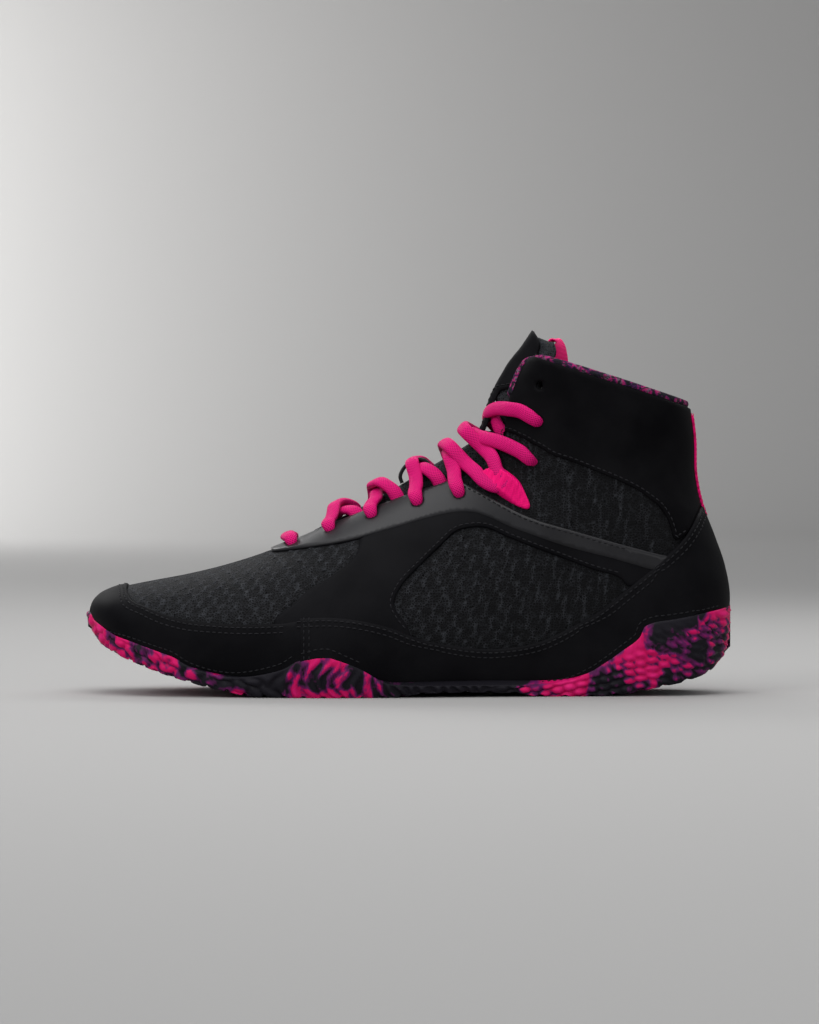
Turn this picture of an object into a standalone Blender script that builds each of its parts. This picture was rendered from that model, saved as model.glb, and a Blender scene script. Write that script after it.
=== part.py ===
"""A mid-height wrestling shoe, left foot: rubber cup sole, hollow textile upper with fused overlays,
padded tongue, laces, pull tab and webbing loops. Metres, +Z up, toe towards -X, inner side +Y."""

import math
from collections import namedtuple
from functools import lru_cache

import bmesh
import bpy
from mathutils import Vector

MM = 0.001

# Driving sizes of the last
LENGTH = 288 * MM
BALL_WIDTH = 97 * MM
WAIST_WIDTH = 78 * MM
HEEL_WIDTH = 69 * MM
SHAFT_WIDTH = 68 * MM
INSTEP_HEIGHT = 108 * MM
COLLAR_HEIGHT = 150 * MM
BACK_HEIGHT = 130 * MM
TOE_SWING = 9 * MM

# Walls, plies and clearances
WALL = 2.2 * MM
GUARD_PLY = 1.3 * MM
SADDLE_PLY = 0.8 * MM
EYESTAY_PLY = 1.2 * MM
CUFF_PLY = 0.8 * MM
TAPE_PLY = 0.7 * MM
WEBBING_PLY = 1.1 * MM
GAP = 0.3 * MM
SEAM_GAP = 0.4 * MM

# Sole
SOLE_WALL = 1.8 * MM
SOLE_DROP = 6.5 * MM
LUG_DEPTH = 1.3 * MM
SIDE_RELIEF = 0.7 * MM
LUG_COUNT = 30
HEEL_LUG_RATIO = 1.8
INSOLE_PLY = 4.0 * MM

# Tongue, laces and small parts
TONGUE_PLY = 4.2 * MM
TONGUE_PAD = 7.5 * MM
TONGUE_EDGE = 2.2 * MM
TONGUE_TUCK = 7 * MM
LACE_SLOT = 5.4 * MM
TONGUE_PANEL_PLY = 1.3 * MM
TONGUE_PANEL_WIDTH = 30 * MM
STRAP_WIDTH = 9 * MM
TUCK_GAP = 1.2 * MM
LACE_WIDTH = 7.0 * MM
LACE_PLY = 3.6 * MM
EYELET_RADIUS = 1.9 * MM
EYELET_INSET = 6.5 * MM
TAPE_WIDTH = 11 * MM
COLLAR_CORNER = 11 * MM
KEEPER_WIDTH = 7 * MM
PULL_TAB_WIDTH = 12 * MM

SHARP_ANGLE = math.radians(35)
OUTER, INNER = -1, 1


def rise(share):
    """Height of a share of the front line: 0 floor, 1 instep bend, 2 front corner of the collar."""
    if share <= 1:
        return share * INSTEP_HEIGHT
    return INSTEP_HEIGHT + (share - 1) * (COLLAR_HEIGHT - INSTEP_HEIGHT)


def back(share):
    """Height of a share of the back line: 0 floor, 1 back of the collar."""
    return share * BACK_HEIGHT


def along(share):
    """Place of a share of the length: 0 toe, 1 heel."""
    return (share - 0.5) * LENGTH


# Each section of the last lies in a plane that fans round the instep bend, from the ridge line at
# the top or front (top_x, top_z) to the sole or back line (low_x, low_z).
# swing: share of TOE_SWING to the inner side. girth: the width that the row follows. outer, inner:
# half widths each side of the ridge, as shares of half that width. widest: share of the way down
# where it is widest. crown, round: squareness above and below (2 is an ellipse). seat: half width
# of the open bottom, as a share of the half width. gap: half the throat opening, mm.
# bulge: how far the tongue stands over the ridge line, mm.
Section = namedtuple(
    "Section",
    "top_x top_z low_x low_z swing girth outer inner widest crown round seat gap bulge",
)
BALL, WAIST, HEEL, SHAFT = BALL_WIDTH, WAIST_WIDTH, HEEL_WIDTH, SHAFT_WIDTH
LAST = [
    Section(0.004, rise(0.33), 0.004, rise(0.33), 1.00, BALL, 0.00, 0.00, 0.5, 2.0, 2.0, 0.00, 8, 0.8),
    Section(0.009, rise(0.372), 0.008, rise(0.292), 0.98, BALL, 0.27, 0.25, 0.5, 2.0, 2.0, 0.00, 8, 0.8),
    Section(0.018, rise(0.398), 0.016, rise(0.264), 0.95, BALL, 0.42, 0.36, 0.52, 2.1, 2.0, 0.00, 8, 0.8),
    Section(0.035, rise(0.421), 0.031, rise(0.230), 0.90, BALL, 0.58, 0.47, 0.54, 2.2, 2.1, 0.30, 8, 0.8),
    Section(0.061, rise(0.440), 0.057, rise(0.191), 0.84, BALL, 0.72, 0.57, 0.57, 2.3, 2.3, 0.62, 8, 0.8),
    Section(0.097, rise(0.460), 0.097, rise(0.148), 0.78, BALL, 0.83, 0.65, 0.60, 2.3, 2.5, 0.74, 8, 0.8),
    Section(0.151, rise(0.487), 0.153, rise(0.097), 0.70, BALL, 0.94, 0.75, 0.64, 2.2, 2.6, 0.80, 8, 0.8),
    Section(0.214, rise(0.528), 0.218, rise(0.056), 0.62, BALL, 1.01, 0.85, 0.68, 2.1, 2.6, 0.82, 8, 0.8),
    Section(0.284, rise(0.589), 0.290, rise(0.035), 0.54, BALL, 1.06, 0.90, 0.71, 2.0, 2.6, 0.82, 8, 0.8),
    Section(0.354, rise(0.672), 0.368, rise(0.029), 0.46, BALL, 1.08, 0.90, 0.74, 1.9, 2.6, 0.81, 8.5, 0.8),
    Section(0.421, rise(0.757), 0.448, rise(0.029), 0.38, BALL, 1.05, 0.86, 0.76, 1.8, 2.5, 0.79, 10.5, 0.8),
    Section(0.487, rise(0.838), 0.534, rise(0.034), 0.30, WAIST, 1.21, 1.01, 0.77, 1.8, 2.4, 0.76, 12.0, 2.5),
    Section(0.544, rise(0.912), 0.625, rise(0.038), 0.22, WAIST, 1.09, 0.94, 0.77, 1.8, 2.4, 0.74, 13.5, 4.2),
    Section(0.583, rise(0.970), 0.712, rise(0.035), 0.15, WAIST, 0.98, 0.91, 0.76, 1.9, 2.4, 0.74, 14.5, 4.5),
    Section(0.608, rise(1.050), 0.800, rise(0.038), 0.08, HEEL, 1.04, 1.00, 0.74, 2.0, 2.4, 0.73, 15.0, 4.0),
    Section(0.621, rise(1.160), 0.888, rise(0.065), 0.03, HEEL, 1.00, 0.98, 0.72, 2.1, 2.3, 0.66, 14.8, 3.2),
    Section(0.629, rise(1.290), 0.952, rise(0.135), 0.00, HEEL, 0.98, 0.98, 0.71, 2.1, 2.3, 0.34, 14.2, 3.0),
    Section(0.634, rise(1.420), 0.985, back(0.220), 0.00, HEEL, 0.97, 0.97, 0.70, 2.2, 2.2, 0.00, 13.5, 3.0),
    Section(0.640, rise(1.545), 0.9935, back(0.325), 0.00, HEEL, 0.96, 0.96, 0.69, 2.2, 2.1, 0.00, 12.8, 3.0),
    Section(0.647, rise(1.650), 0.986, back(0.435), 0.00, SHAFT, 0.96, 0.96, 0.66, 2.3, 2.1, 0.00, 12.0, 3.0),
    Section(0.654, rise(1.740), 0.969, back(0.545), 0.00, SHAFT, 0.95, 0.95, 0.62, 2.3, 2.1, 0.00, 11.5, 3.0),
    Section(0.660, rise(1.810), 0.952, back(0.645), 0.00, SHAFT, 0.95, 0.95, 0.59, 2.3, 2.1, 0.00, 11.2, 3.0),
    Section(0.666, rise(1.880), 0.942, back(0.750), 0.00, SHAFT, 0.96, 0.96, 0.57, 2.3, 2.1, 0.00, 11.0, 3.0),
    Section(0.675, rise(1.970), 0.940, back(0.875), 0.00, SHAFT, 0.98, 0.98, 0.55, 2.3, 2.1, 0.00, 11.0, 2.8),
    Section(0.685, rise(2.060), 0.933, back(1.000), 0.00, SHAFT, 1.00, 1.00, 0.54, 2.3, 2.1, 0.00, 11.0, 2.6),
    Section(0.700, rise(2.220), 0.928, back(1.100), 0.00, SHAFT, 1.00, 1.00, 0.54, 2.3, 2.1, 0.00, 11.0, 2.4),
    Section(0.714, rise(2.370), 0.923, back(1.200), 0.00, SHAFT, 1.00, 1.00, 0.54, 2.3, 2.1, 0.00, 11.0, 2.2),
]
THROAT_ROW, CORNER_ROW, COLLAR_ROW, TONGUE_ROW, PANEL_ROW = 8.28, 22.6, 24.0, 24.85, 25.2
WAIST_START, WAIST_END = 0.49, 0.69

# Rows where the upper and everything that lies on it have their points, so that plies stay parallel
STATIONS = [
    0, 0.5, 1, 1.7, 2.4, 3.2, 4, 5, 6, 7, 7.7, 8.28, 8.45, 9, 9.7, 10.5, 11.3, 12.1, 12.9, 13.6, 14.3, 15,
    15.7, 16.4, 17.1, 18, 19.2, 20.5, 21.6, 22.6, 23.2, 23.7, 24,
]
CELLS = 7

# Side outlines as (share of the length, height in rise() shares)
SOLE_TOP = [
    (-0.03, 0.345), (0.000, 0.335), (0.008, 0.305), (0.019, 0.285), (0.042, 0.248), (0.066, 0.227),
    (0.089, 0.206), (0.112, 0.185), (0.136, 0.163), (0.159, 0.128), (0.183, 0.105), (0.206, 0.090),
    (0.237, 0.083), (0.268, 0.092), (0.307, 0.119), (0.323, 0.144), (0.339, 0.159), (0.362, 0.170),
    (0.378, 0.170), (0.393, 0.157), (0.417, 0.130), (0.440, 0.095), (0.456, 0.070), (0.471, 0.056),
    (0.495, 0.050), (0.680, 0.050), (0.705, 0.052), (0.729, 0.057), (0.752, 0.069), (0.783, 0.106),
    (0.807, 0.148), (0.830, 0.193), (0.853, 0.243), (0.861, 0.289), (0.877, 0.306), (0.900, 0.314),
    (0.939, 0.331), (0.970, 0.347), (1.000, 0.362), (1.04, 0.380),
]
SOLE_LOW = [
    (-0.03, 0.30), (0.000, 0.265), (0.011, 0.235), (0.022, 0.206), (0.042, 0.177), (0.058, 0.156),
    (0.081, 0.131), (0.112, 0.100), (0.151, 0.068), (0.190, 0.040), (0.222, 0.022), (0.250, 0.007),
    (0.276, 0.0), (0.487, 0.0), (0.510, 0.013), (0.670, 0.013), (0.697, 0.0), (0.815, 0.0),
    (0.861, 0.024), (0.900, 0.043), (0.928, 0.060), (0.964, 0.098), (0.985, 0.150), (1.04, 0.30),
]
WRAP_TOP = [
    (0.331, 0.322), (0.378, 0.326), (0.409, 0.320), (0.440, 0.306), (0.471, 0.285), (0.502, 0.253),
    (0.534, 0.227), (0.565, 0.213), (0.596, 0.202), (0.627, 0.198), (0.674, 0.210), (0.705, 0.231),
    (0.736, 0.268), (0.783, 0.335), (0.807, 0.381), (0.830, 0.430), (0.861, 0.497), (0.892, 0.568),
    (0.924, 0.655), (0.955, 0.788), (1.04, 0.850),
]
GUARD_TOP = [
    (-0.03, 0.60), (0.059, 0.60), (0.062, 0.426), (0.072, 0.385), (0.097, 0.360), (0.128, 0.331),
    (0.159, 0.312), (0.198, 0.302), (0.253, 0.297), (0.304, 0.302), (0.318, 0.285), (0.326, 0.243),
]
EYESTAY_LOW = [
    (0.304, 0.589), (0.362, 0.612), (0.409, 0.634), (0.456, 0.668), (0.487, 0.692), (0.518, 0.717),
    (0.549, 0.738), (0.580, 0.751), (0.604, 0.747), (0.627, 0.726), (0.658, 0.689), (0.690, 0.659),
    (0.721, 0.630), (0.752, 0.605), (0.783, 0.584), (0.814, 0.564), (0.846, 0.539), (0.867, 0.523),
]
EYESTAY_TOP = [
    (0.877, 0.589), (0.830, 0.622), (0.783, 0.657), (0.736, 0.692), (0.705, 0.715), (0.674, 0.746),
    (0.643, 0.788), (0.612, 0.834), (0.590, 0.862),
]
WINDOW_EDGE = [
    (0.827, 0.481), (0.817, 0.497), (0.783, 0.522), (0.736, 0.568), (0.690, 0.613), (0.650, 0.655),
    (0.619, 0.690), (0.596, 0.692), (0.572, 0.676), (0.549, 0.622), (0.518, 0.543), (0.487, 0.455),
    (0.476, 0.385), (0.484, 0.335), (0.495, 0.298),
]
CUFF_LOW = [
    (0.600, 1.30), (0.640, 1.235), (0.658, 1.210), (0.674, 1.160), (0.690, 1.097), (0.705, 1.044),
    (0.721, 0.990), (0.752, 0.963), (0.783, 0.930), (0.814, 0.896), (0.846, 0.855), (0.869, 0.813),
    (0.885, 0.776), (0.896, 0.730), (0.902, 0.688), (0.908, 0.642), (0.924, 0.661), (0.955, 0.795),
    (1.04, 0.857),
]
LOOP_EDGE = [
    (0.606, 0.853), (0.606, 0.905), (0.638, 0.960), (0.650, 0.945), (0.663, 0.917), (0.676, 0.863),
    (0.683, 0.809), (0.686, 0.772), (0.674, 0.754), (0.643, 0.796), (0.612, 0.842),
]

# Rows of the eyelet pairs from the toe up: those in the eyestay, then those in the cuff, the last unlaced
EYESTAY_EYELETS = [8.5, 9.35, 10.3, 11.35, 12.5]
CUFF_EYELETS = [16.4, 18.85, 21.8]
CUFF_INSETS = [9.2 * MM, 11.2 * MM, 12.0 * MM]

# The two laces of each crossing are mirror images. start, middle, end: rows at the near side, over
# the tongue and at the far side. near, far: how far past the throat's edge it shows, in mm; below
# nothing it comes from or goes under the edge and stops short of it.
Crossing = namedtuple("Crossing", "start near middle end far")
CROSSINGS = [
    Crossing(9.35, 3.2, 9.60, 9.90, -4.4),
    Crossing(10.30, 3.2, 10.52, 10.85, -4.4),
    Crossing(11.35, 3.2, 11.55, 11.95, -4.4),
    Crossing(12.50, 3.2, 12.70, 13.35, 2.0),
    Crossing(14.30, -3.0, 14.15, 16.25, 5.6),
    Crossing(16.15, -4.4, 16.75, 18.75, 7.4),
]


# The last

Row = namedtuple("Row", "top low middle outer inner widest crown round seat gap bulge drop")


def columns(section):
    half = section.girth / 2
    return (
        along(section.top_x), section.top_z, along(section.low_x), section.low_z,
        section.swing * TOE_SWING, half * section.outer, half * section.inner, section.widest,
        section.crown, section.round, section.seat, section.gap * MM, section.bulge * MM,
    )


TABLE = [columns(section) for section in LAST]
KNOTS = [0.0]
for lower, upper_row in zip(TABLE, TABLE[1:]):
    step = math.hypot(upper_row[0] - lower[0], upper_row[1] - lower[1])
    step += math.hypot(upper_row[2] - lower[2], upper_row[3] - lower[3])
    KNOTS.append(KNOTS[-1] + max(step, 4 * MM))


def slope(column, i):
    """Slope of a column of the table at row i, from the rows on both sides."""
    last = len(TABLE) - 1
    if i == 0 or i == last:
        j = min(i, last - 1)
        return (TABLE[j + 1][column] - TABLE[j][column]) / (KNOTS[j + 1] - KNOTS[j])
    before, after = KNOTS[i] - KNOTS[i - 1], KNOTS[i + 1] - KNOTS[i]
    left = (TABLE[i][column] - TABLE[i - 1][column]) / before
    right = (TABLE[i + 1][column] - TABLE[i][column]) / after
    return (left * after + right * before) / (before + after)


def ease(t):
    t = min(1.0, max(0.0, t))
    return t * t * (3 - 2 * t)


@lru_cache(maxsize=None)
def last_row(r):
    i = min(max(int(r), 0), len(TABLE) - 2)
    t, h = r - i, KNOTS[i + 1] - KNOTS[i]
    values = []
    for column in range(len(TABLE[0])):
        a, b = TABLE[i][column], TABLE[i + 1][column]
        m, n = slope(column, i) * h, slope(column, i + 1) * h
        values.append(
            a * (2 * t**3 - 3 * t**2 + 1) + m * (t**3 - 2 * t**2 + t)
            + b * (3 * t**2 - 2 * t**3) + n * (t**3 - t**2)
        )
    top_x, top_z, low_x, low_z, middle, outer, inner, widest, crown, rounded, seat, gap, bulge = values
    if r <= 2.3 or r >= 16.7:
        seat = 0.0
    if r <= THROAT_ROW:
        gap = 0.0
    else:
        nose = min(1.0, (r - THROAT_ROW) / 0.5)
        gap *= math.sqrt(1 - (1 - nose) ** 2)
    if r > CORNER_ROW:
        turn = min(1.0, (r - CORNER_ROW) / (COLLAR_ROW - CORNER_ROW))
        gap += COLLAR_CORNER * (1 - math.sqrt(1 - turn**2))
    drop = SOLE_DROP * ease(r / 4) * (1 - ease((r - 15.5) / 2.5))
    return Row(
        Vector((top_x, 0, top_z)), Vector((low_x, 0, low_z)), middle, max(outer, 0), max(inner, 0),
        widest, crown, rounded, max(seat, 0), gap, bulge, drop,
    )


def last_point(r, side, turn):
    """A point of the last: turn is 0 at the ridge, half pi where widest, pi at the bottom or back."""
    if turn < 0:
        side, turn = -side, -turn
    row = last_row(min(max(r, 0), len(TABLE) - 1))
    half = row.outer if side == OUTER else row.inner
    if turn <= math.pi / 2:
        down = row.widest * (1 - max(math.cos(turn), 0) ** (2 / row.crown))
        out = half * math.sin(turn) ** (2 / row.crown)
    else:
        if turn > math.pi and row.seat == 0:
            side, turn = -side, 2 * math.pi - turn
            half = row.outer if side == OUTER else row.inner
        if turn > math.pi:
            down, out = 1.0, half * row.seat * (1 - (turn - math.pi))
        else:
            down = row.widest + (1 - row.widest) * abs(math.cos(turn)) ** (2 / row.round)
            out = half * (row.seat + (1 - row.seat) * max(math.sin(turn), 0) ** (2 / row.round))
    point = row.top.lerp(row.low, down)
    return Vector((point.x, row.middle + side * out, point.z))


@lru_cache(maxsize=None)
def last_normal(r, side, turn):
    if r < 0.01:
        return Vector((-1, 0, 0))
    e, f = 0.02, 0.05
    girth = last_point(r, side, turn + e) - last_point(r, side, turn - e)
    length = last_point(r + f, side, turn) - last_point(r - f, side, turn)
    normal = girth.cross(length).normalized()
    row = last_row(r)
    core = row.top.lerp(row.low, 0.55) + Vector((0, row.middle, 0))
    return normal if normal.dot(last_point(r, side, turn) - core) > 0 else -normal


def on_last(r, side, turn, offset):
    return last_point(r, side, turn) + last_normal(r, side, turn) * offset


def turn_at(r, side, out):
    """The turn above the widest line where a section is this far out from the ridge."""
    row = last_row(r)
    half = row.outer if side == OUTER else row.inner
    if half <= out or out <= 0:
        return 0.0
    return math.asin((out / half) ** (row.crown / 2))


@lru_cache(maxsize=None)
def turns(r, side, count=CELLS, start=None):
    """Turns at even steps of the girth, from the throat's edge to the bottom."""
    first = turn_at(r, side, last_row(r).gap) if start is None else start
    fine = [first + (math.pi - first) * i / 160 for i in range(161)]
    run = [0.0]
    for a, b in zip(fine, fine[1:]):
        run.append(run[-1] + (last_point(r, side, b) - last_point(r, side, a)).length)
    result, j = [first], 0
    for i in range(1, count):
        want = run[-1] * i / count
        while run[j + 1] < want:
            j += 1
        part = (want - run[j]) / max(run[j + 1] - run[j], 1e-12)
        result.append(fine[j] + (fine[j + 1] - fine[j]) * part)
    return tuple(result + [math.pi])


# Builders


def material(name, colour, roughness):
    made = bpy.data.materials.new(name)
    made.use_nodes = True
    shader = made.node_tree.nodes["Principled BSDF"]
    shader.inputs["Base Color"].default_value = (*colour, 1)
    shader.inputs["Roughness"].default_value = roughness
    return made


def add(name, points, faces, paint=None):
    """An object from points and faces, with coincident points made one and faces turned outwards."""
    mesh = bpy.data.meshes.new(name)
    mesh.from_pydata([tuple(p) for p in points], [], faces)
    made = bpy.data.objects.new(name, mesh)
    bpy.context.scene.collection.objects.link(made)
    tidy(made)
    if paint:
        mesh.materials.append(paint)
    return made


def tidy(made, near=0.002 * MM):
    work = bmesh.new()
    work.from_mesh(made.data)
    bmesh.ops.remove_doubles(work, verts=work.verts, dist=near)
    bmesh.ops.dissolve_degenerate(work, edges=work.edges, dist=near)
    bmesh.ops.recalc_face_normals(work, faces=work.faces)
    work.to_mesh(made.data)
    work.free()


def skin(rings, mirrored=False):
    """Points and faces of a closed skin over rings of points, with flat ends.

    Where the second half of each ring mirrors the first, its diagonals do so too.
    """
    count = len(rings[0])
    points = [p for ring in rings for p in ring]
    faces = [tuple(range(count)), tuple(reversed(range(len(points) - count, len(points))))]
    for j in range(len(rings) - 1):
        for i in range(count):
            a, b = j * count + i, j * count + (i + 1) % count
            if mirrored and i >= count // 2:
                faces += [(a, b, a + count), (b, b + count, a + count)]
            else:
                faces += [(a, b, b + count), (a, b + count, a + count)]
    return points, faces


def shell(name, low, high, paint, stations=STATIONS, sides=(OUTER, INNER)):
    """The upper's form between two offsets, open at throat, collar and underneath."""
    index, bases, pairs, faces = {}, [], [], []

    def corner(r, side, turn):
        base = last_point(r, side, turn)
        key = tuple(round(v * 1e6) for v in base)
        if key not in index:
            index[key] = len(pairs)
            normal = last_normal(r, side, turn)
            pairs.append((base + normal * high, base + normal * low))
        return index[key]

    for side in sides:
        grid = [[corner(r, side, turn) for turn in turns(r, side)] for r in stations]
        for j in range(len(grid) - 1):
            for i in range(CELLS):
                a, b, c, d = grid[j][i], grid[j][i + 1], grid[j + 1][i + 1], grid[j + 1][i]
                for face in ((a, b, c), (a, c, d)):
                    if len(set(face)) == 3:
                        faces.append(face if side == OUTER else face[::-1])
    total = len(pairs)
    edges = {}
    for face in faces:
        for a, b in zip(face, face[1:] + face[:1]):
            edges[(a, b)] = edges.get((a, b), 0) + 1
    rims = [(a, b) for a, b in edges if (b, a) not in edges]
    skins = [tuple(face) for face in faces] + [tuple(v + total for v in face[::-1]) for face in faces]
    for a, b in rims:
        skins += [(b, a, a + total), (b, a + total, b + total)]
    return add(name, [p[0] for p in pairs] + [p[1] for p in pairs], skins, paint)


def form(name, offset, stations=STATIONS):
    """The last filled, grown by an offset, flat over the throat and between the seats."""
    rings = []
    for r in stations:
        left = [on_last(r, OUTER, turn, offset) for turn in turns(r, OUTER)]
        right = [on_last(r, INNER, turn, offset) for turn in turns(r, INNER)]
        rings.append(left + right[::-1])
    return add(name, *skin(rings, mirrored=True))


def prism(name, outline, low_y, high_y):
    """A side outline of (x, z) in metres drawn out across the shoe."""
    count = len(outline)
    points = [(x, y, z) for y in (low_y, high_y) for x, z in outline]
    faces = [tuple(range(count)), tuple(reversed(range(count, 2 * count)))]
    for i in range(count):
        j = (i + 1) % count
        faces.append((j, i, i + count, j + count))
    return add(name, points, faces)


def outline(shares, lift=0.0):
    return [(along(x), rise(z) + lift) for x, z in shares]


def combine(made, other, operation, keep=False):
    """An exact Boolean of two solids, applied at once."""
    modifier = made.modifiers.new("cut", "BOOLEAN")
    modifier.operation, modifier.solver, modifier.object = operation, "EXACT", other
    graph = bpy.context.evaluated_depsgraph_get()
    result = bpy.data.meshes.new_from_object(made.evaluated_get(graph))
    made.modifiers.clear()
    old = made.data
    made.data = result
    bpy.data.meshes.remove(old)
    if not keep:
        drop(other)
    tidy(made)
    return made


def drop(made):
    mesh = made.data
    bpy.data.objects.remove(made)
    bpy.data.meshes.remove(mesh)


def overlay(name, low, ply, edge, paint, side=0, stations=STATIONS):
    """A ply on the upper: its own form between two offsets, kept inside a side outline."""
    reach = 0.08
    low_y, high_y = (-reach, 0) if side == OUTER else (0, reach) if side == INNER else (-reach, reach)
    sides = (OUTER, INNER) if side == 0 else (side,)
    made = shell(name, low, low + ply, paint, stations, sides)
    return combine(made, prism("edge", edge, low_y, high_y), "INTERSECT")


def tube(name, path, paint, width=LACE_WIDTH, ply=LACE_PLY, sides=6):
    """A flat oval cord along (point, normal) pairs."""
    rings = []
    for i, (point, normal) in enumerate(path):
        ahead = path[min(i + 1, len(path) - 1)][0] - path[max(i - 1, 0)][0]
        across = ahead.cross(normal).normalized()
        up = across.cross(ahead).normalized()
        ring = []
        for k in range(sides):
            angle = 2 * math.pi * k / sides
            ring.append(point + across * math.cos(angle) * width / 2 + up * math.sin(angle) * ply / 2)
        rings.append(ring)
    return add(name, *skin(rings), paint)


for old in list(bpy.data.objects):
    bpy.data.objects.remove(old)

TEXTILE = material("black textile", (0.012, 0.012, 0.013), 0.8)
OVERLAY = material("black fused film", (0.018, 0.018, 0.018), 0.45)
RUBBER = material("marbled rubber", (0.10, 0.02, 0.06), 0.55)
PINK = material("deep pink webbing", (0.55, 0.012, 0.14), 0.6)
FOAM = material("black insole cloth", (0.02, 0.02, 0.02), 0.9)


# Upper, open at the throat, at the collar and underneath

upper = shell("upper", -WALL, 0.0, TEXTILE)

guard_edge = outline(GUARD_TOP) + outline([(0.326, 0.149)], SEAM_GAP)
guard_edge += outline([p for p in reversed(SOLE_TOP) if p[0] < 0.326], SEAM_GAP)
overlay("toe_guard", GAP, GUARD_PLY, guard_edge, OVERLAY)

wrap_edge = outline([p for p in SOLE_TOP if p[0] > 0.330], SEAM_GAP) + outline(WRAP_TOP[::-1])
wrap_edge = outline([(0.331, 0.153)], SEAM_GAP) + wrap_edge
overlay("heel_wrap", GAP, GUARD_PLY, wrap_edge, OVERLAY)

saddle_edge = outline([p for p in WRAP_TOP if p[0] < 0.495], SEAM_GAP)[::-1]
saddle_edge += outline([(0.309, 0.372), (0.339, 0.435), (0.378, 0.489), (0.409, 0.551), (0.424, 0.598)])
saddle_edge += outline([p for p in EYESTAY_LOW if p[0] > 0.424], -SEAM_GAP) + outline(WINDOW_EDGE)
overlay("saddle_lateral", GAP, SADDLE_PLY, saddle_edge, OVERLAY, OUTER)
overlay("saddle_medial", GAP, SADDLE_PLY, saddle_edge, OVERLAY, INNER)

eyestay_edge = outline([(0.285, 0.70), (0.285, 0.590)] + EYESTAY_LOW + EYESTAY_TOP)
eyestay_edge += outline([(0.575, 0.92), (0.52, 0.90), (0.43, 0.82), (0.35, 0.74)])
eyestay = overlay("eyestay", GAP, EYESTAY_PLY, eyestay_edge, OVERLAY)

cuff_edge = outline(CUFF_LOW) + [(along(1.04), COLLAR_HEIGHT * 1.2), (along(0.60), COLLAR_HEIGHT * 1.2)]
cuff = overlay("cuff", GAP, CUFF_PLY, cuff_edge, TEXTILE, 0, [r for r in STATIONS if r < 24])

tape_low = GAP + CUFF_PLY + GAP
tape = shell("heel_tape", tape_low, tape_low + TAPE_PLY, PINK, [r for r in STATIONS if 18 < r < 24])
tape_edge = outline([(0.80, 0.770), (1.04, 0.801)])
tape_edge += [(along(1.04), back(0.962)), (along(0.80), back(0.962))]
combine(tape, prism("edge", tape_edge, -TAPE_WIDTH / 2, TAPE_WIDTH / 2), "INTERSECT")

loop_edge = outline(LOOP_EDGE)
overlay("loop_lateral", GAP, WEBBING_PLY, loop_edge, PINK, OUTER)
overlay("loop_medial", GAP, WEBBING_PLY, loop_edge, PINK, INNER)

# Eyelets, through the upper and the ply on it

insets = [EYELET_INSET] * len(EYESTAY_EYELETS) + CUFF_INSETS
for r, inset in zip(EYESTAY_EYELETS + CUFF_EYELETS, insets):
    for side in (OUTER, INNER):
        turn = turn_at(r, side, last_row(r).gap + inset)
        centre, normal = last_point(r, side, turn), last_normal(r, side, turn)
        across = normal.cross(Vector((0, 0, 1))).normalized()
        up = across.cross(normal)
        rings = []
        for reach in (-6 * MM, 5 * MM):
            rings.append([
                centre + normal * reach
                + (across * math.cos(k * math.pi / 3) + up * math.sin(k * math.pi / 3)) * EYELET_RADIUS
                for k in range(6)
            ])
        for pierced in (upper, cuff if r in CUFF_EYELETS else eyestay):
            combine(pierced, add("punch", *skin(rings)), "DIFFERENCE")


# Sole: the last grown outwards with ribs, cut to its side outline, less the last itself

def low_line(x):
    """Height of the sole's underside at a place along the shoe."""
    line = outline(SOLE_LOW)
    for (a, low), (b, high) in zip(line, line[1:]):
        if a <= x <= b:
            return low + (high - low) * (x - a) / (b - a)
    return line[-1][1]


def lug_places():
    """Where the grooves between lugs lie, closer at the toe than at the heel."""
    steps = [1 + (HEEL_LUG_RATIO - 1) * i / (LUG_COUNT - 1) for i in range(LUG_COUNT)]
    first, last = 0.018, 0.968
    places, total = [first], 0.0
    for step in steps:
        total += step
        places.append(first + (last - first) * total / sum(steps))
    return places


def row_at(x):
    """The row whose bottom point lies at this place."""
    low, high = 0.0, 17.0
    for _ in range(40):
        middle = (low + high) / 2
        if last_row(middle).low.x < x:
            low = middle
        else:
            high = middle
    return round(low, 4)


grooves = lug_places()
sole_rows, relief = [0.0], [0.5]
for a, b in zip(grooves, grooves[1:]):
    plain = WAIST_START < (a + b) / 2 < WAIST_END
    for share, height in ((a, 0.0), (a + (b - a) * 0.5, 1.0)):
        if height or not plain:
            sole_rows.append(row_at(along(share)))
            relief.append(0.5 if plain else height)
back_ribs = [(16.9, 0.0), (17.15, 1.0), (17.4, 0.0), (17.65, 1.0), (17.9, 0.0), (18.15, 1.0)]
back_ribs += [(18.4, 0.0), (18.8, 1.0)]
for r, height in back_ribs:
    if r > sole_rows[-1] + 0.1:
        sole_rows.append(r)
        relief.append(height)

SOLE_TURNS = [share * math.pi for share in (0.32, 0.48, 0.62, 0.76, 0.88, 1.0)]
rings = []
for r, height in zip(sole_rows, relief):
    row = last_row(r)
    down = (row.low - row.top).normalized() if row.drop else Vector((0, 0, -1))
    ring = []
    for side in (OUTER, INNER):
        half = []
        for turn in SOLE_TURNS:
            side_share = 1 - ease((turn / math.pi - 0.72) / 0.2)
            offset = GAP + SOLE_WALL + SIDE_RELIEF * (height - 0.5) * side_share
            point = on_last(r, side, turn, offset)
            half.append(point + down * row.drop * ease((turn / math.pi - 0.5) / 0.42))
        ring += half if side == OUTER else half[::-1]
    rings.append(ring)
outsole = add("outsole", *skin(rings), RUBBER)

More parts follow.
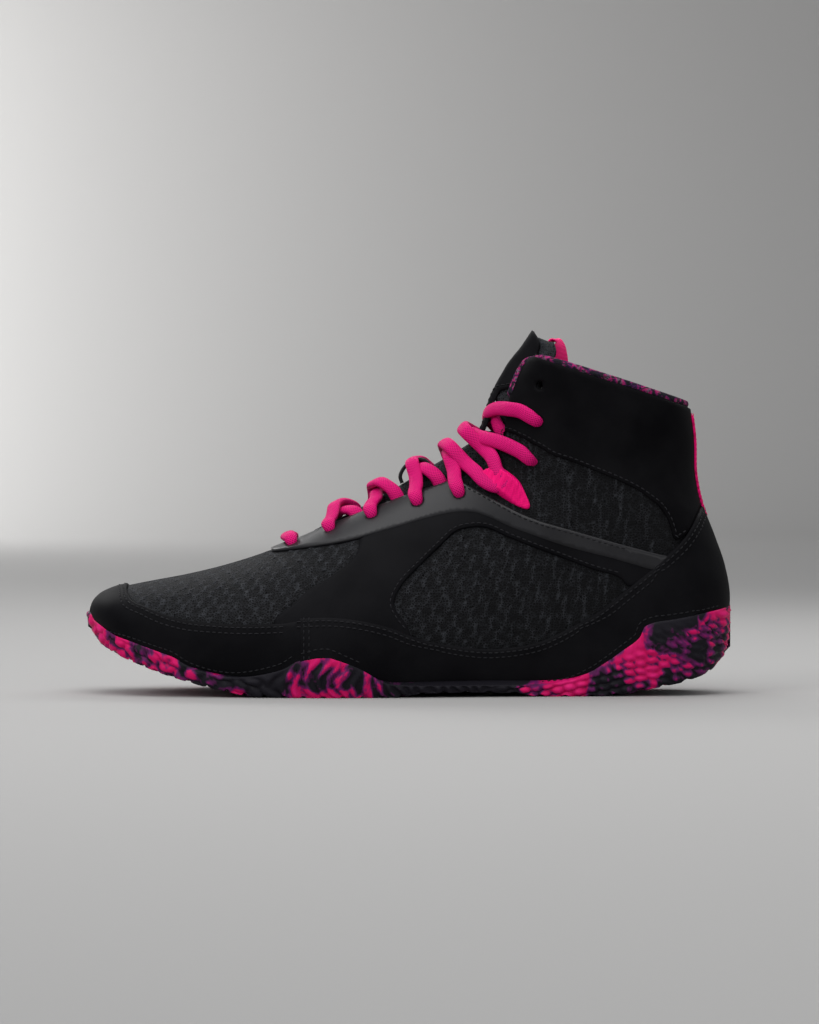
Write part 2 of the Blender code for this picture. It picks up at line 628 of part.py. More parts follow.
under = []
for a, b in zip(grooves, grooves[1:]):
    left, right = along(a), along(b)
    pitch = right - left
    waist = along(WAIST_START) < (left + right) / 2 < along(WAIST_END)
    depth = 0.0 if waist else LUG_DEPTH
    for share, lift in ((0.0, depth), (0.16, depth), (0.28, 0.0), (0.88, 0.0)):
        x = left + pitch * share
        under.append((x, low_line(x) + lift))
ends = outline(SOLE_LOW)
under = [p for p in ends if p[0] < along(0.012)] + under + [p for p in ends if p[0] > along(0.97)]
sole_edge = under + outline(SOLE_TOP)[::-1]
combine(outsole, prism("edge", sole_edge, -0.09, 0.09), "INTERSECT")
combine(outsole, form("core", GAP), "DIFFERENCE")


# Insole board, inside the upper and down through its open bottom

insole = form("insole", -(WALL + GAP))
insole.data.materials.append(FOAM)
bed = [(row.low.x, row.low.z + WALL + GAP + INSOLE_PLY) for row in map(last_row, [0.6, *range(2, 18)])]
bed_edge = [(along(-0.05), bed[0][1]), *bed, (along(1.05), bed[-1][1])]
bed_edge += [(along(1.05), -0.02), (along(-0.05), -0.02)]
combine(insole, prism("edge", bed_edge, -0.09, 0.09), "INTERSECT")
rings = []
plug_top = -(WALL + GAP + 1.2 * MM)
for r in [r for r in STATIONS if 4 < r < 15.3]:
    ring = []
    for side, offset in ((OUTER, 0.0), (INNER, 0.0), (INNER, plug_top), (OUTER, plug_top)):
        ring.append(on_last(r, side, math.pi, offset) - Vector((0, side * 1.4 * MM, 0)))
    rings.append(ring)
combine(insole, add("plug", *skin(rings)), "UNION")


# Tongue, under the throat's edges and proud of them in the middle

def over_ridge(r, across, offset):
    """A point of the ridge region at a distance across from the middle, with its outward direction."""
    side = OUTER if across < 0 else INNER
    turn = turn_at(r, side, abs(across))
    return last_point(r, side, turn) + last_normal(r, side, turn) * offset, last_normal(r, side, turn)


def tongue_top(r, across, dent=0.0):
    """Height of the tongue's face over the last: tucked at the sides, bulging in the middle."""
    row = last_row(r)
    free = max(row.gap, 7 * MM)
    if r > CORNER_ROW:
        free = last_row(CORNER_ROW).gap + 4 * MM * (r - CORNER_ROW) / 3
    tucked = -(WALL + TUCK_GAP)
    if r > COLLAR_ROW + 0.2:
        tucked += 2 * MM * ease((r - COLLAR_ROW) / 1.5)
    middle = tucked + (row.bulge - tucked) * ease((r - THROAT_ROW) / 0.8)
    middle -= dent * ease((r - 15.1) / 0.8) * (1 - ease((r - 17.8) / 0.9))
    return tucked + (middle - tucked) * ease((free - 1.2 * MM - abs(across)) / (0.75 * free))


def panel_half(r):
    """Half width of the panel on the tongue, which spreads out above the collar."""
    strap = STRAP_WIDTH / 2
    between = last_row(min(r, CORNER_ROW)).gap - 2.2 * MM
    half = strap + (between - strap) * ease((r - 18.7) / 1.6)
    return half + (TONGUE_PANEL_WIDTH / 2 - half) * ease((r - 22.8) / 1.5)


def tongue_ply(r):
    """Thickness at the middle: a thin sheet over the instep, a padded one in the shaft."""
    return TONGUE_PLY + (TONGUE_PAD - TONGUE_PLY) * ease((r - 16) / 5)


rings = []
tongue_rows = [7] + [r for r in STATIONS if r > 8] + [24.4, TONGUE_ROW]
for r in tongue_rows:
    reach = max(last_row(min(r, CORNER_ROW)).gap, 7 * MM) + TONGUE_TUCK
    if r < 8.5:
        reach = 15 * MM
    panel, top, bottom = panel_half(r), [], []
    right = [0, panel / 2, panel, panel + (reach - panel) * 0.5, reach]
    for across in [-v for v in right[:0:-1]] + right:
        height = tongue_top(r, across, LACE_SLOT) if r > THROAT_ROW else -(WALL + TUCK_GAP)
        under = min(tongue_top(r, 0.0) - tongue_ply(r), height - TONGUE_EDGE)
        top.append(over_ridge(r, across, height)[0])
        bottom.append(over_ridge(r, across, under)[0])
    rings.append(top + bottom[::-1])
tongue = add("tongue", *skin(rings, mirrored=True), TEXTILE)

# The panel bridges a slot in the tongue that the upper crossing runs through
rings = []
for r in [r for r in STATIONS if r > 15] + [24.6, PANEL_ROW]:
    top, bottom = [], []
    for i in range(-2, 3):
        across = panel_half(r) * i / 2
        height = tongue_top(r, across) + GAP + 0.15 * MM
        top.append(over_ridge(r, across, height + TONGUE_PANEL_PLY)[0])
        bottom.append(over_ridge(r, across, height)[0])
    rings.append(top + bottom[::-1])
add("tongue_panel", *skin(rings, mirrored=True), OVERLAY)


# Laces: a bar at the first eyelets, then a crossing between each pair and the next

def lace_path(crossing, side, lift=0.0):
    """From one side of the throat, across the tongue, to the other side."""
    half = LACE_PLY / 2
    start = last_row(crossing.start).gap + crossing.near * MM
    end = -(last_row(crossing.end).gap + crossing.far * MM)
    path = []
    for i in range(6):
        across = start + (end - start) * i / 5
        if across > 0:
            r = crossing.middle + (crossing.start - crossing.middle) * (across / start) ** 1.5
        else:
            r = crossing.middle + (crossing.end - crossing.middle) * (across / end) ** 1.2
        gap = last_row(r).gap
        over_edge = GAP + EYESTAY_PLY + 0.7 * MM + half
        over_tongue = 0.7 * MM + half + max(
            tongue_top(r + step, across + aside, LACE_SLOT)
            for step in (-0.2, 0, 0.2) for aside in (-2 * MM, 0, 2 * MM)
        )
        if crossing.end > 16 and crossing.start < 15 and r > 14.7 and abs(across) < panel_half(r) + 3 * MM:
            over_tongue += (TONGUE_PANEL_PLY + GAP + 0.4 * MM) * ease((r - 14.6) / 0.3)
        edge_share = ease((abs(across) - (gap - 7 * MM)) / (6 * MM))
        shows = (crossing.near if across > 0 else crossing.far) > 0
        rests = max(over_edge, over_tongue) if shows else over_tongue
        path.append(over_ridge(r, side * across, over_tongue + (rests - over_tongue) * edge_share + lift))
    return path


bar = []
for i in range(-3, 4):
    across = (last_row(EYESTAY_EYELETS[0]).gap + EYELET_INSET - EYELET_RADIUS - 1.0 * MM) * i / 3
    row = EYESTAY_EYELETS[0] - 0.12 * (1 - abs(i / 3) ** 2)
    bar.append(over_ridge(row, across, GAP + EYESTAY_PLY + 0.7 * MM + LACE_PLY / 2))
tube("lace_bar", bar, PINK)

for number, crossing in enumerate(CROSSINGS, 1):
    made = tube(f"lace_cross_{number}", lace_path(crossing, INNER), PINK)
    combine(made, tube("mirrored", lace_path(crossing, OUTER, 0.35 * MM), PINK), "UNION")


# Small parts on the tongue

def strip(name, path, ply, width, paint):
    """A flat strip bent along a side path of (x, z), as wide as given across the shoe."""
    left, right = [], []
    for i, (x, z) in enumerate(path):
        ahead = Vector(path[min(i + 1, len(path) - 1)]) - Vector(path[max(i - 1, 0)])
        normal = Vector((-ahead.y, ahead.x)).normalized() * ply / 2
        left.append((x + normal.x, z + normal.y))
        right.append((x - normal.x, z - normal.y))
    made = prism(name, left + right[::-1], -width / 2, width / 2)
    made.data.materials.append(paint)
    return made


def near_ridge(r, height):
    row = last_row(r)
    point = row.top + last_normal(r, INNER, 0.0) * (row.bulge + height)
    return point.x, point.z


arch = [(11.14, 1.0), (11.15, 3.8), (11.25, 5.8), (11.55, 6.9), (11.86, 5.8), (11.96, 3.8), (11.97, 1.0)]
keeper_path = [near_ridge(r, height * MM) for r, height in arch]
strip("lace_keeper", keeper_path, 1.2 * MM, KEEPER_WIDTH, TEXTILE)

tab_path = []
for r in (23.3, 23.9, 24.5):
    point, outward = over_ridge(r, 0.0, tongue_top(r, 0.0) - tongue_ply(r))
    point -= outward * (GAP + 1.1 * MM)
    tab_path.append((point.x, point.z))
tab_path += [(along(x), rise(z)) for x, z in ((0.7300, 2.195), (0.7370, 2.205), (0.7425, 2.15), (0.7455, 1.95))]
strip("pull_tab", tab_path, 1.2 * MM, PULL_TAB_WIDTH, PINK)

for mesh in list(bpy.data.meshes):
    if mesh.users == 0:
        bpy.data.meshes.remove(mesh)
    else:
        mesh.shade_smooth()
        mesh.set_sharp_from_angle(angle=SHARP_ANGLE)
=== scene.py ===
"""Looks of the wrestling shoe: textile and fused film plies, seams, laces through their eyelets,
padded tongue and marbled rubber sole, laid on the same last as the CAD. Metres, toe towards -X."""
import math
from collections import namedtuple

import bmesh
import bpy
import numpy as np
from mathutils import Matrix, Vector, kdtree
from mathutils.geometry import delaunay_2d_cdt


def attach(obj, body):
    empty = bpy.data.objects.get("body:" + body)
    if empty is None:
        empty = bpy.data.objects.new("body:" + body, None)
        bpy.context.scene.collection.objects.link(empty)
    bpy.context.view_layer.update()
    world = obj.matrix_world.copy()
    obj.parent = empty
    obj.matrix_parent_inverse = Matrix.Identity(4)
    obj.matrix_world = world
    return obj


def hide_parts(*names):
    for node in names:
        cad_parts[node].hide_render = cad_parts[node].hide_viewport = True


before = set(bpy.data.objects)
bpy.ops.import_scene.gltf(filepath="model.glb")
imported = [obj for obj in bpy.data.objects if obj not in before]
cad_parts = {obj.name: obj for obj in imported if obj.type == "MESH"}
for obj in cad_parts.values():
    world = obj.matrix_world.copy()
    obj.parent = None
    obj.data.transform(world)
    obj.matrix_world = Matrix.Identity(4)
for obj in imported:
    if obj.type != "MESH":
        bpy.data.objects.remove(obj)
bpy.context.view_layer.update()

MM = 0.001
OUTER, INNER = -1, 1

# Sizes of the last, walls and plies, as in the CAD
LENGTH, BALL, WAIST, HEEL, SHAFT = 288 * MM, 97 * MM, 78 * MM, 69 * MM, 68 * MM
INSTEP_HEIGHT, COLLAR_HEIGHT, BACK_HEIGHT, TOE_SWING = 108 * MM, 150 * MM, 130 * MM, 9 * MM
WALL, GUARD_PLY, SADDLE_PLY, EYESTAY_PLY, CUFF_PLY = 2.2 * MM, 1.3 * MM, 0.8 * MM, 1.2 * MM, 0.8 * MM
WEBBING_PLY, TAPE_PLY, GAP = 1.1 * MM, 0.7 * MM, 0.3 * MM
SOLE_WALL, SOLE_DROP, LUG_DEPTH, INSOLE_PLY = 1.8 * MM, 6.5 * MM, 1.3 * MM, 4.0 * MM
TONGUE_PLY, TONGUE_PAD, TONGUE_EDGE, TONGUE_TUCK = 4.2 * MM, 7.5 * MM, 2.2 * MM, 7 * MM
LACE_SLOT, TONGUE_PANEL_PLY, TONGUE_PANEL_WIDTH, STRAP_WIDTH = 5.4 * MM, 1.3 * MM, 30 * MM, 9 * MM
TUCK_GAP, LACE_WIDTH, LACE_PLY, EYELET_RADIUS = 1.2 * MM, 6.5 * MM, 3.6 * MM, 1.9 * MM
EYELET_INSET, TAPE_WIDTH, COLLAR_CORNER, KEEPER_WIDTH = 6.5 * MM, 11 * MM, 11 * MM, 7 * MM
PULL_TAB_WIDTH = 12 * MM
THROAT_ROW, CORNER_ROW, COLLAR_ROW, TONGUE_ROW, PANEL_ROW = 8.28, 22.6, 24.0, 24.85, 25.2


def rise(share):
    """Height of a share of the front line: 0 floor, 1 instep bend, 2 front corner of the collar."""
    if share <= 1:
        return share * INSTEP_HEIGHT
    return INSTEP_HEIGHT + (share - 1) * (COLLAR_HEIGHT - INSTEP_HEIGHT)


def back(share):
    return share * BACK_HEIGHT


def along(share):
    return (share - 0.5) * LENGTH


# The last: one row of sizes for each section, toe to collar, with the CAD's columns
Section = namedtuple(
    "Section", "top_x top_z low_x low_z swing girth outer inner widest crown round seat gap bulge"
)
LAST = [
    Section(0.004, rise(0.33), 0.004, rise(0.33), 1.00, BALL, 0.00, 0.00, 0.5, 2.0, 2.0, 0.00, 8, 0.8),
    Section(0.009, rise(0.372), 0.008, rise(0.292), 0.98, BALL, 0.27, 0.25, 0.5, 2.0, 2.0, 0.00, 8, 0.8),
    Section(0.018, rise(0.398), 0.016, rise(0.264), 0.95, BALL, 0.42, 0.36, 0.52, 2.1, 2.0, 0.00, 8, 0.8),
    Section(0.035, rise(0.421), 0.031, rise(0.230), 0.90, BALL, 0.58, 0.47, 0.54, 2.2, 2.1, 0.30, 8, 0.8),
    Section(0.061, rise(0.440), 0.057, rise(0.191), 0.84, BALL, 0.72, 0.57, 0.57, 2.3, 2.3, 0.62, 8, 0.8),
    Section(0.097, rise(0.460), 0.097, rise(0.148), 0.78, BALL, 0.83, 0.65, 0.60, 2.3, 2.5, 0.74, 8, 0.8),
    Section(0.151, rise(0.487), 0.153, rise(0.097), 0.70, BALL, 0.94, 0.75, 0.64, 2.2, 2.6, 0.80, 8, 0.8),
    Section(0.214, rise(0.528), 0.218, rise(0.056), 0.62, BALL, 1.01, 0.85, 0.68, 2.1, 2.6, 0.82, 8, 0.8),
    Section(0.284, rise(0.589), 0.290, rise(0.035), 0.54, BALL, 1.06, 0.90, 0.71, 2.0, 2.6, 0.82, 8, 0.8),
    Section(0.354, rise(0.672), 0.368, rise(0.029), 0.46, BALL, 1.08, 0.90, 0.74, 1.9, 2.6, 0.81, 8.5, 0.8),
    Section(0.421, rise(0.757), 0.448, rise(0.029), 0.38, BALL, 1.05, 0.86, 0.76, 1.8, 2.5, 0.79, 10.5, 0.8),
    Section(0.487, rise(0.838), 0.534, rise(0.034), 0.30, WAIST, 1.21, 1.01, 0.77, 1.8, 2.4, 0.76, 12.0, 2.5),
    Section(0.544, rise(0.912), 0.625, rise(0.038), 0.22, WAIST, 1.09, 0.94, 0.77, 1.8, 2.4, 0.74, 13.5, 4.2),
    Section(0.583, rise(0.970), 0.712, rise(0.035), 0.15, WAIST, 0.98, 0.91, 0.76, 1.9, 2.4, 0.74, 14.5, 4.5),
    Section(0.608, rise(1.050), 0.800, rise(0.038), 0.08, HEEL, 1.04, 1.00, 0.74, 2.0, 2.4, 0.73, 15.0, 4.0),
    Section(0.621, rise(1.160), 0.888, rise(0.065), 0.03, HEEL, 1.00, 0.98, 0.72, 2.1, 2.3, 0.66, 14.8, 3.2),
    Section(0.629, rise(1.290), 0.952, rise(0.135), 0.00, HEEL, 0.98, 0.98, 0.71, 2.1, 2.3, 0.34, 14.2, 3.0),
    Section(0.634, rise(1.420), 0.985, back(0.220), 0.00, HEEL, 0.97, 0.97, 0.70, 2.2, 2.2, 0.00, 13.5, 3.0),
    Section(0.640, rise(1.545), 0.9935, back(0.325), 0.00, HEEL, 0.96, 0.96, 0.69, 2.2, 2.1, 0.00, 12.8, 3.0),
    Section(0.647, rise(1.650), 0.986, back(0.435), 0.00, SHAFT, 0.96, 0.96, 0.66, 2.3, 2.1, 0.00, 12.0, 3.0),
    Section(0.654, rise(1.740), 0.969, back(0.545), 0.00, SHAFT, 0.95, 0.95, 0.62, 2.3, 2.1, 0.00, 11.5, 3.0),
    Section(0.660, rise(1.810), 0.952, back(0.645), 0.00, SHAFT, 0.95, 0.95, 0.59, 2.3, 2.1, 0.00, 11.2, 3.0),
    Section(0.666, rise(1.880), 0.942, back(0.750), 0.00, SHAFT, 0.96, 0.96, 0.57, 2.3, 2.1, 0.00, 11.0, 3.0),
    Section(0.675, rise(1.970), 0.940, back(0.875), 0.00, SHAFT, 0.98, 0.98, 0.55, 2.3, 2.1, 0.00, 11.0, 2.8),
    Section(0.685, rise(2.060), 0.933, back(1.000), 0.00, SHAFT, 1.00, 1.00, 0.54, 2.3, 2.1, 0.00, 11.0, 2.6),
    Section(0.700, rise(2.220), 0.928, back(1.100), 0.00, SHAFT, 1.00, 1.00, 0.54, 2.3, 2.1, 0.00, 11.0, 2.4),
    Section(0.714, rise(2.370), 0.923, back(1.200), 0.00, SHAFT, 1.00, 1.00, 0.54, 2.3, 2.1, 0.00, 11.0, 2.2),
]

# Side outlines as (share of the length, height in rise() shares)
SOLE_TOP = [
    (0.000, 0.335), (0.008, 0.305), (0.019, 0.285), (0.042, 0.248), (0.066, 0.227),
    (0.089, 0.206), (0.112, 0.185), (0.136, 0.163), (0.159, 0.128), (0.183, 0.105), (0.206, 0.090),
    (0.237, 0.083), (0.268, 0.092), (0.307, 0.119), (0.323, 0.144), (0.339, 0.159), (0.362, 0.170),
    (0.378, 0.170), (0.393, 0.157), (0.417, 0.130), (0.440, 0.095), (0.456, 0.070), (0.471, 0.056),
    (0.495, 0.050), (0.680, 0.050), (0.705, 0.052), (0.729, 0.057), (0.752, 0.069), (0.783, 0.106),
    (0.807, 0.148), (0.830, 0.193), (0.853, 0.243), (0.861, 0.289), (0.877, 0.306), (0.900, 0.314),
    (0.939, 0.331), (0.970, 0.347), (1.000, 0.362), (1.04, 0.380),
]
SOLE_LOW = [
    (-0.03, 0.30), (0.000, 0.265), (0.011, 0.235), (0.022, 0.206), (0.042, 0.177), (0.058, 0.156),
    (0.081, 0.131), (0.112, 0.100), (0.151, 0.068), (0.190, 0.040), (0.222, 0.022), (0.250, 0.007),
    (0.276, 0.0), (0.487, 0.0), (0.510, 0.013), (0.670, 0.013), (0.697, 0.0), (0.815, 0.0),
    (0.861, 0.024), (0.900, 0.043), (0.928, 0.060), (0.964, 0.098), (0.985, 0.150), (1.04, 0.30),
]
WRAP_TOP = [
    (0.331, 0.322), (0.378, 0.326), (0.409, 0.320), (0.440, 0.306), (0.471, 0.285), (0.502, 0.253),
    (0.534, 0.227), (0.565, 0.213), (0.596, 0.202), (0.627, 0.198), (0.674, 0.210), (0.705, 0.231),
    (0.736, 0.268), (0.783, 0.335), (0.807, 0.381), (0.830, 0.430), (0.861, 0.497), (0.892, 0.568),
    (0.924, 0.655), (0.955, 0.788), (1.00, 0.90),
]
GUARD_TOP = [
    (0.0605, 0.47), (0.0605, 0.438), (0.0625, 0.420), (0.072, 0.385), (0.097, 0.360), (0.128, 0.331),
    (0.159, 0.312), (0.198, 0.302), (0.253, 0.297), (0.304, 0.302), (0.318, 0.285), (0.326, 0.243),
]
EYESTAY_LOW = [
    (0.304, 0.589), (0.362, 0.612), (0.409, 0.634), (0.456, 0.668), (0.487, 0.692), (0.518, 0.717),
    (0.549, 0.738), (0.580, 0.751), (0.604, 0.747), (0.627, 0.726), (0.658, 0.689), (0.690, 0.659),
    (0.721, 0.630), (0.752, 0.605), (0.783, 0.584), (0.814, 0.564), (0.846, 0.539), (0.867, 0.523),
]
EYESTAY_TOP = [
    (0.877, 0.589), (0.830, 0.622), (0.783, 0.657), (0.736, 0.692), (0.705, 0.715), (0.674, 0.746),
    (0.643, 0.788), (0.612, 0.834), (0.590, 0.862),
]
WINDOW_EDGE = [
    (0.827, 0.481), (0.817, 0.497), (0.783, 0.522), (0.736, 0.568), (0.690, 0.613), (0.650, 0.655),
    (0.619, 0.690), (0.596, 0.692), (0.572, 0.676), (0.549, 0.622), (0.518, 0.543), (0.487, 0.455),
    (0.476, 0.385), (0.484, 0.335), (0.495, 0.298),
]
CUFF_LOW = [
    (0.600, 1.30), (0.640, 1.235), (0.658, 1.210), (0.674, 1.160), (0.690, 1.097), (0.705, 1.044),
    (0.721, 0.990), (0.752, 0.963), (0.783, 0.930), (0.814, 0.896), (0.846, 0.855), (0.869, 0.813),
    (0.885, 0.776), (0.896, 0.730), (0.902, 0.688), (0.908, 0.642), (0.924, 0.661), (0.955, 0.795),
    (1.00, 0.90),
]
EYESTAY_EYELETS = [8.5, 9.35, 10.3, 11.35, 12.5]
CUFF_EYELETS = [16.4, 18.85, 21.8]
CUFF_INSETS = [9.2 * MM, 11.2 * MM, 12.0 * MM]


# The last as arrays

def columns(section):
    half = section.girth / 2
    return (
        along(section.top_x), section.top_z, along(section.low_x), section.low_z,
        section.swing * TOE_SWING, half * section.outer, half * section.inner, section.widest,
        section.crown, section.round, section.seat, section.gap * MM, section.bulge * MM,
    )


TABLE = np.array([columns(section) for section in LAST])
STEPS = np.hypot(*np.diff(TABLE[:, :2], axis=0).T) + np.hypot(*np.diff(TABLE[:, 2:4], axis=0).T)
KNOTS = np.concatenate([[0.0], np.cumsum(np.maximum(STEPS, 4 * MM))])
STEPS = np.diff(KNOTS)[:, None]
CHORDS = np.diff(TABLE, axis=0) / STEPS
SLOPES = np.vstack([
    CHORDS[:1],
    (CHORDS[:-1] * STEPS[1:] + CHORDS[1:] * STEPS[:-1]) / (STEPS[:-1] + STEPS[1:]),
    CHORDS[-1:],
])
Row = namedtuple("Row", "top_x top_z low_x low_z middle outer inner widest crown round seat gap bulge drop")


def ease(t):
    t = np.clip(t, 0.0, 1.0)
    return t * t * (3 - 2 * t)


def rows(r):
    r = np.clip(np.asarray(r, float), 0, len(TABLE) - 1)
    i = np.minimum(r.astype(int), len(TABLE) - 2)
    t = (r - i)[..., None]
    step = STEPS[i]
    a, b, m, n = TABLE[i], TABLE[i + 1], SLOPES[i] * step, SLOPES[i + 1] * step
    v = (
        a * (2 * t**3 - 3 * t**2 + 1) + m * (t**3 - 2 * t**2 + t)
        + b * (3 * t**2 - 2 * t**3) + n * (t**3 - t**2)
    )
    v = np.moveaxis(v, -1, 0)
    seat = np.where((r <= 2.3) | (r >= 16.7), 0.0, np.maximum(v[10], 0))
    nose = np.clip((r - THROAT_ROW) / 0.5, 0, 1)
    gap = v[11] * np.sqrt(1 - (1 - nose) ** 2)
    turn = np.clip((r - CORNER_ROW) / (COLLAR_ROW - CORNER_ROW), 0, 1)
    gap = gap + COLLAR_CORNER * (1 - np.sqrt(1 - turn**2))
    drop = SOLE_DROP * ease(r / 4) * (1 - ease((r - 15.5) / 2.5))
    return Row(*v[:5], np.maximum(v[5], 0), np.maximum(v[6], 0), *v[7:10], seat, gap, v[12], drop)


def place(r, side, turn):
    """Points of the last: turn is 0 at the ridge, half pi where widest, pi at the bottom or back."""
    r, side, turn = np.broadcast_arrays(np.asarray(r, float), np.asarray(side, float),
        np.asarray(turn, float))
    side, turn = np.where(turn < 0, -side, side), np.abs(turn)
    row = rows(r)
    over = (turn > math.pi) & (row.seat == 0)
    side, turn = np.where(over, -side, side), np.where(over, 2 * math.pi - turn, turn)
    half = np.where(side < 0, row.outer, row.inner)
    c, s = np.cos(turn), np.maximum(np.sin(turn), 0)
    above = turn <= math.pi / 2
    down = np.where(
        above, row.widest * (1 - np.maximum(c, 0) ** (2 / row.crown)),
        row.widest + (1 - row.widest) * np.abs(c) ** (2 / row.round),
    )
    out = half * np.where(above, s ** (2 / row.crown), row.seat + (1 - row.seat) * s ** (2 / row.round))
    past = turn > math.pi
    down = np.where(past, 1.0, down)
    out = np.where(past, half * row.seat * (1 - (turn - math.pi)), out)
    x = row.top_x + (row.low_x - row.top_x) * down
    z = row.top_z + (row.low_z - row.top_z) * down
    return np.stack([x, row.middle + side * out, z], axis=-1)


def unit(v):
    return v / np.maximum(np.linalg.norm(v, axis=-1, keepdims=True), 1e-12)


def facing(r, side, turn):
    """Outward directions of the last."""
    r, side, turn = np.broadcast_arrays(np.asarray(r, float), np.asarray(side, float),
        np.asarray(turn, float))
    e, f = 0.02, 0.05
    girth = place(r, side, turn + e) - place(r, side, turn - e)
    length = place(r + f, side, turn) - place(r - f, side, turn)
    normal = unit(np.cross(girth, length))
    row = rows(r)
    core = np.stack([
        row.top_x + (row.low_x - row.top_x) * 0.55, row.middle, row.top_z + (row.low_z - row.top_z) * 0.55,
    ], axis=-1)
    flip = np.sum(normal * (place(r, side, turn) - core), axis=-1) < 0
    normal = np.where(flip[..., None], -normal, normal)
    return np.where((r < 0.01)[..., None], np.array([-1.0, 0, 0]), normal)


# Creases of the worn-in form: share of the length, rise, angle, then half length, half width and depth in mm
CREASES = [
    (0.640, 0.860, -38, 20, 5.0, -0.55), (0.672, 0.805, -34, 26, 5.5, 0.35),
    (0.700, 1.020, -24, 30, 6.5, -0.45), (0.745, 1.130, -20, 34, 8.0, 0.35),
    (0.860, 0.930, -40, 22, 7.0, -0.50), (0.905, 0.480, 62, 24, 6.5, -0.45),
    (0.420, 0.470, 58, 22, 5.0, -0.40), (0.385, 0.440, 60, 20, 5.0, 0.30),
    (0.455, 0.400, 66, 18, 5.0, 0.25), (0.560, 0.440, 75, 20, 7.0, -0.30),
    (0.130, 0.360, 20, 22, 5.5, -0.35), (0.225, 0.430, 28, 26, 6.0, -0.35),
    (0.270, 0.480, 30, 22, 5.5, 0.25), (0.760, 1.500, -12, 34, 9.0, -0.55),
    (0.830, 1.420, -14, 26, 8.0, 0.40), (0.690, 1.640, -70, 20, 6.0, -0.35),
    (0.640, 0.120, 4, 40, 5.0, -0.30), (0.880, 0.400, 30, 22, 5.0, 0.25),
]


def creases(points):
    """Soft troughs and ridges in the plies, laid across the side views."""
    lift = np.zeros(points.shape[:-1])
    for share, height, angle, reach, width, depth in CREASES:
        dx, dz = points[..., 0] - along(share), points[..., 2] - rise(height)
        c, s = math.cos(math.radians(angle)), math.sin(math.radians(angle))
        u, v = (dx * c + dz * s) / (reach * MM), (-dx * s + dz * c) / (width * MM)
        v = v - 0.25 * u * u
        lift += depth * MM * np.exp(-u * u * 1.6 - v * v)
    return lift


def on_last(r, side, turn, offset):
    base = place(r, side, turn)
    return base + facing(r, side, turn) * (np.asarray(offset) + creases(base))[..., None]


def find(x, z):
    """Row and turn of points given in the side view, kept to the last where they lie outside it."""
    x, z = np.asarray(x, float), np.asarray(z, float)
    low, high = np.full(x.shape, 0.0), np.full(x.shape, COLLAR_ROW)
    for _ in range(42):
        r = (low + high) / 2
        row = rows(r)
        dx, dz = row.low_x - row.top_x, row.low_z - row.top_z
        ahead = dx * (z - row.top_z) - dz * (x - row.top_x) > 0
        low, high = np.where(ahead, r, low), np.where(ahead, high, r)
    share = ((x - row.top_x) * dx + (z - row.top_z) * dz) / np.maximum(dx * dx + dz * dz, 1e-12)
    above = np.arccos(np.clip(1 - share / row.widest, 0, 1) ** (row.crown / 2))
    below = math.pi - np.arccos(np.clip((share - row.widest) / (1 - row.widest), 0, 1) ** (row.round / 2))
    return r, np.where(share <= row.widest, above, below)


def turn_out(r, side, out):
    """Turn above the widest line where a section is this far out from the ridge."""
    row = rows(r)
    half = np.where(np.asarray(side) < 0, row.outer, row.inner)
    share = np.clip(np.asarray(out) / np.maximum(half, 1e-9), 0, 1)
    return np.arcsin(share ** (row.crown / 2))


def throat(r, side):
    return turn_out(r, side, rows(r).gap)


# Lines on the last, as arrays of (row, turn) on one side

def smooth(points, step=0.7 * MM):
    """A side outline in metres drawn as one smooth line at even steps."""
    p = np.array(points, float)
    run = np.concatenate([[0],
        np.cumsum(np.sqrt(np.maximum(np.linalg.norm(np.diff(p, axis=0), axis=1), 1e-6)))])
    slopes = np.gradient(p, run, axis=0)
    result = []
    for i in range(len(p) - 1):
        count = max(2, int(np.linalg.norm(p[i + 1] - p[i]) / step) + 1)
        t = np.linspace(0, 1, count, endpoint=False)[:, None]
        h = run[i + 1] - run[i]
        result.append(
            p[i] * (2 * t**3 - 3 * t**2 + 1) + slopes[i] * h * (t**3 - 2 * t**2 + t)
            + p[i + 1] * (3 * t**2 - 2 * t**3) + slopes[i + 1] * h * (t**3 - t**2)
        )
    return np.vstack(result + [p[-1:]])


def line(shares, side, lift=0.0, curved=True):
    """A side outline as rows and turns, kept between the throat's edge and the bottom."""
    points = [(along(x), rise(z) + lift) for x, z in shares]
    points = smooth(points) if curved else np.array(points)
    r, turn = find(points[:, 0], points[:, 1])
    return np.stack([r, np.maximum(turn, throat(r, side))], axis=1)


def run_at(low, high, turn, side=None, count=60):
    """A run of rows at one turn, or along the throat's edge where turn is None."""
    t = np.linspace(0, 1, count)
    if turn is None:
        nose, corner = THROAT_ROW + 0.5, CORNER_ROW
        r = low + (high - low) * t
        fine = THROAT_ROW + 0.5 * (1 - np.cos(np.linspace(0, 1, 16) * math.pi / 2))
        top = CORNER_ROW + (COLLAR_ROW - CORNER_ROW) * np.sin(np.linspace(0, 1, 24) * math.pi / 2)
        r = np.concatenate([r[(r > nose) & (r < corner)], fine, top])
        r = np.unique(np.clip(r, min(low, high), max(low, high)))
        if high < low:
            r = r[::-1]
        return np.stack([r, throat(r, side)], axis=1)
    r = low + (high - low) * t
    return np.stack([r, np.full(count, float(turn))], axis=1)


def even(path, side, step, closed=False):
    """The same line with its points at even steps along the last."""
    keep = np.concatenate([[True],
        np.linalg.norm(np.diff(place(path[:, 0], side, path[:, 1]), axis=0), axis=1) > 1e-7])
    path = path[keep]
    if closed:
        path = np.vstack([path, path[:1]])
    run = np.concatenate([[0],
        np.cumsum(np.linalg.norm(np.diff(place(path[:, 0], side, path[:, 1]), axis=0), axis=1))])
    count = max(3, int(round(run[-1] / step)))
    want = np.linspace(0, run[-1], count + 1)
    if closed:
        want = want[:-1]
    return np.stack([np.interp(want, run, path[:, 0]), np.interp(want, run, path[:, 1])], axis=1)


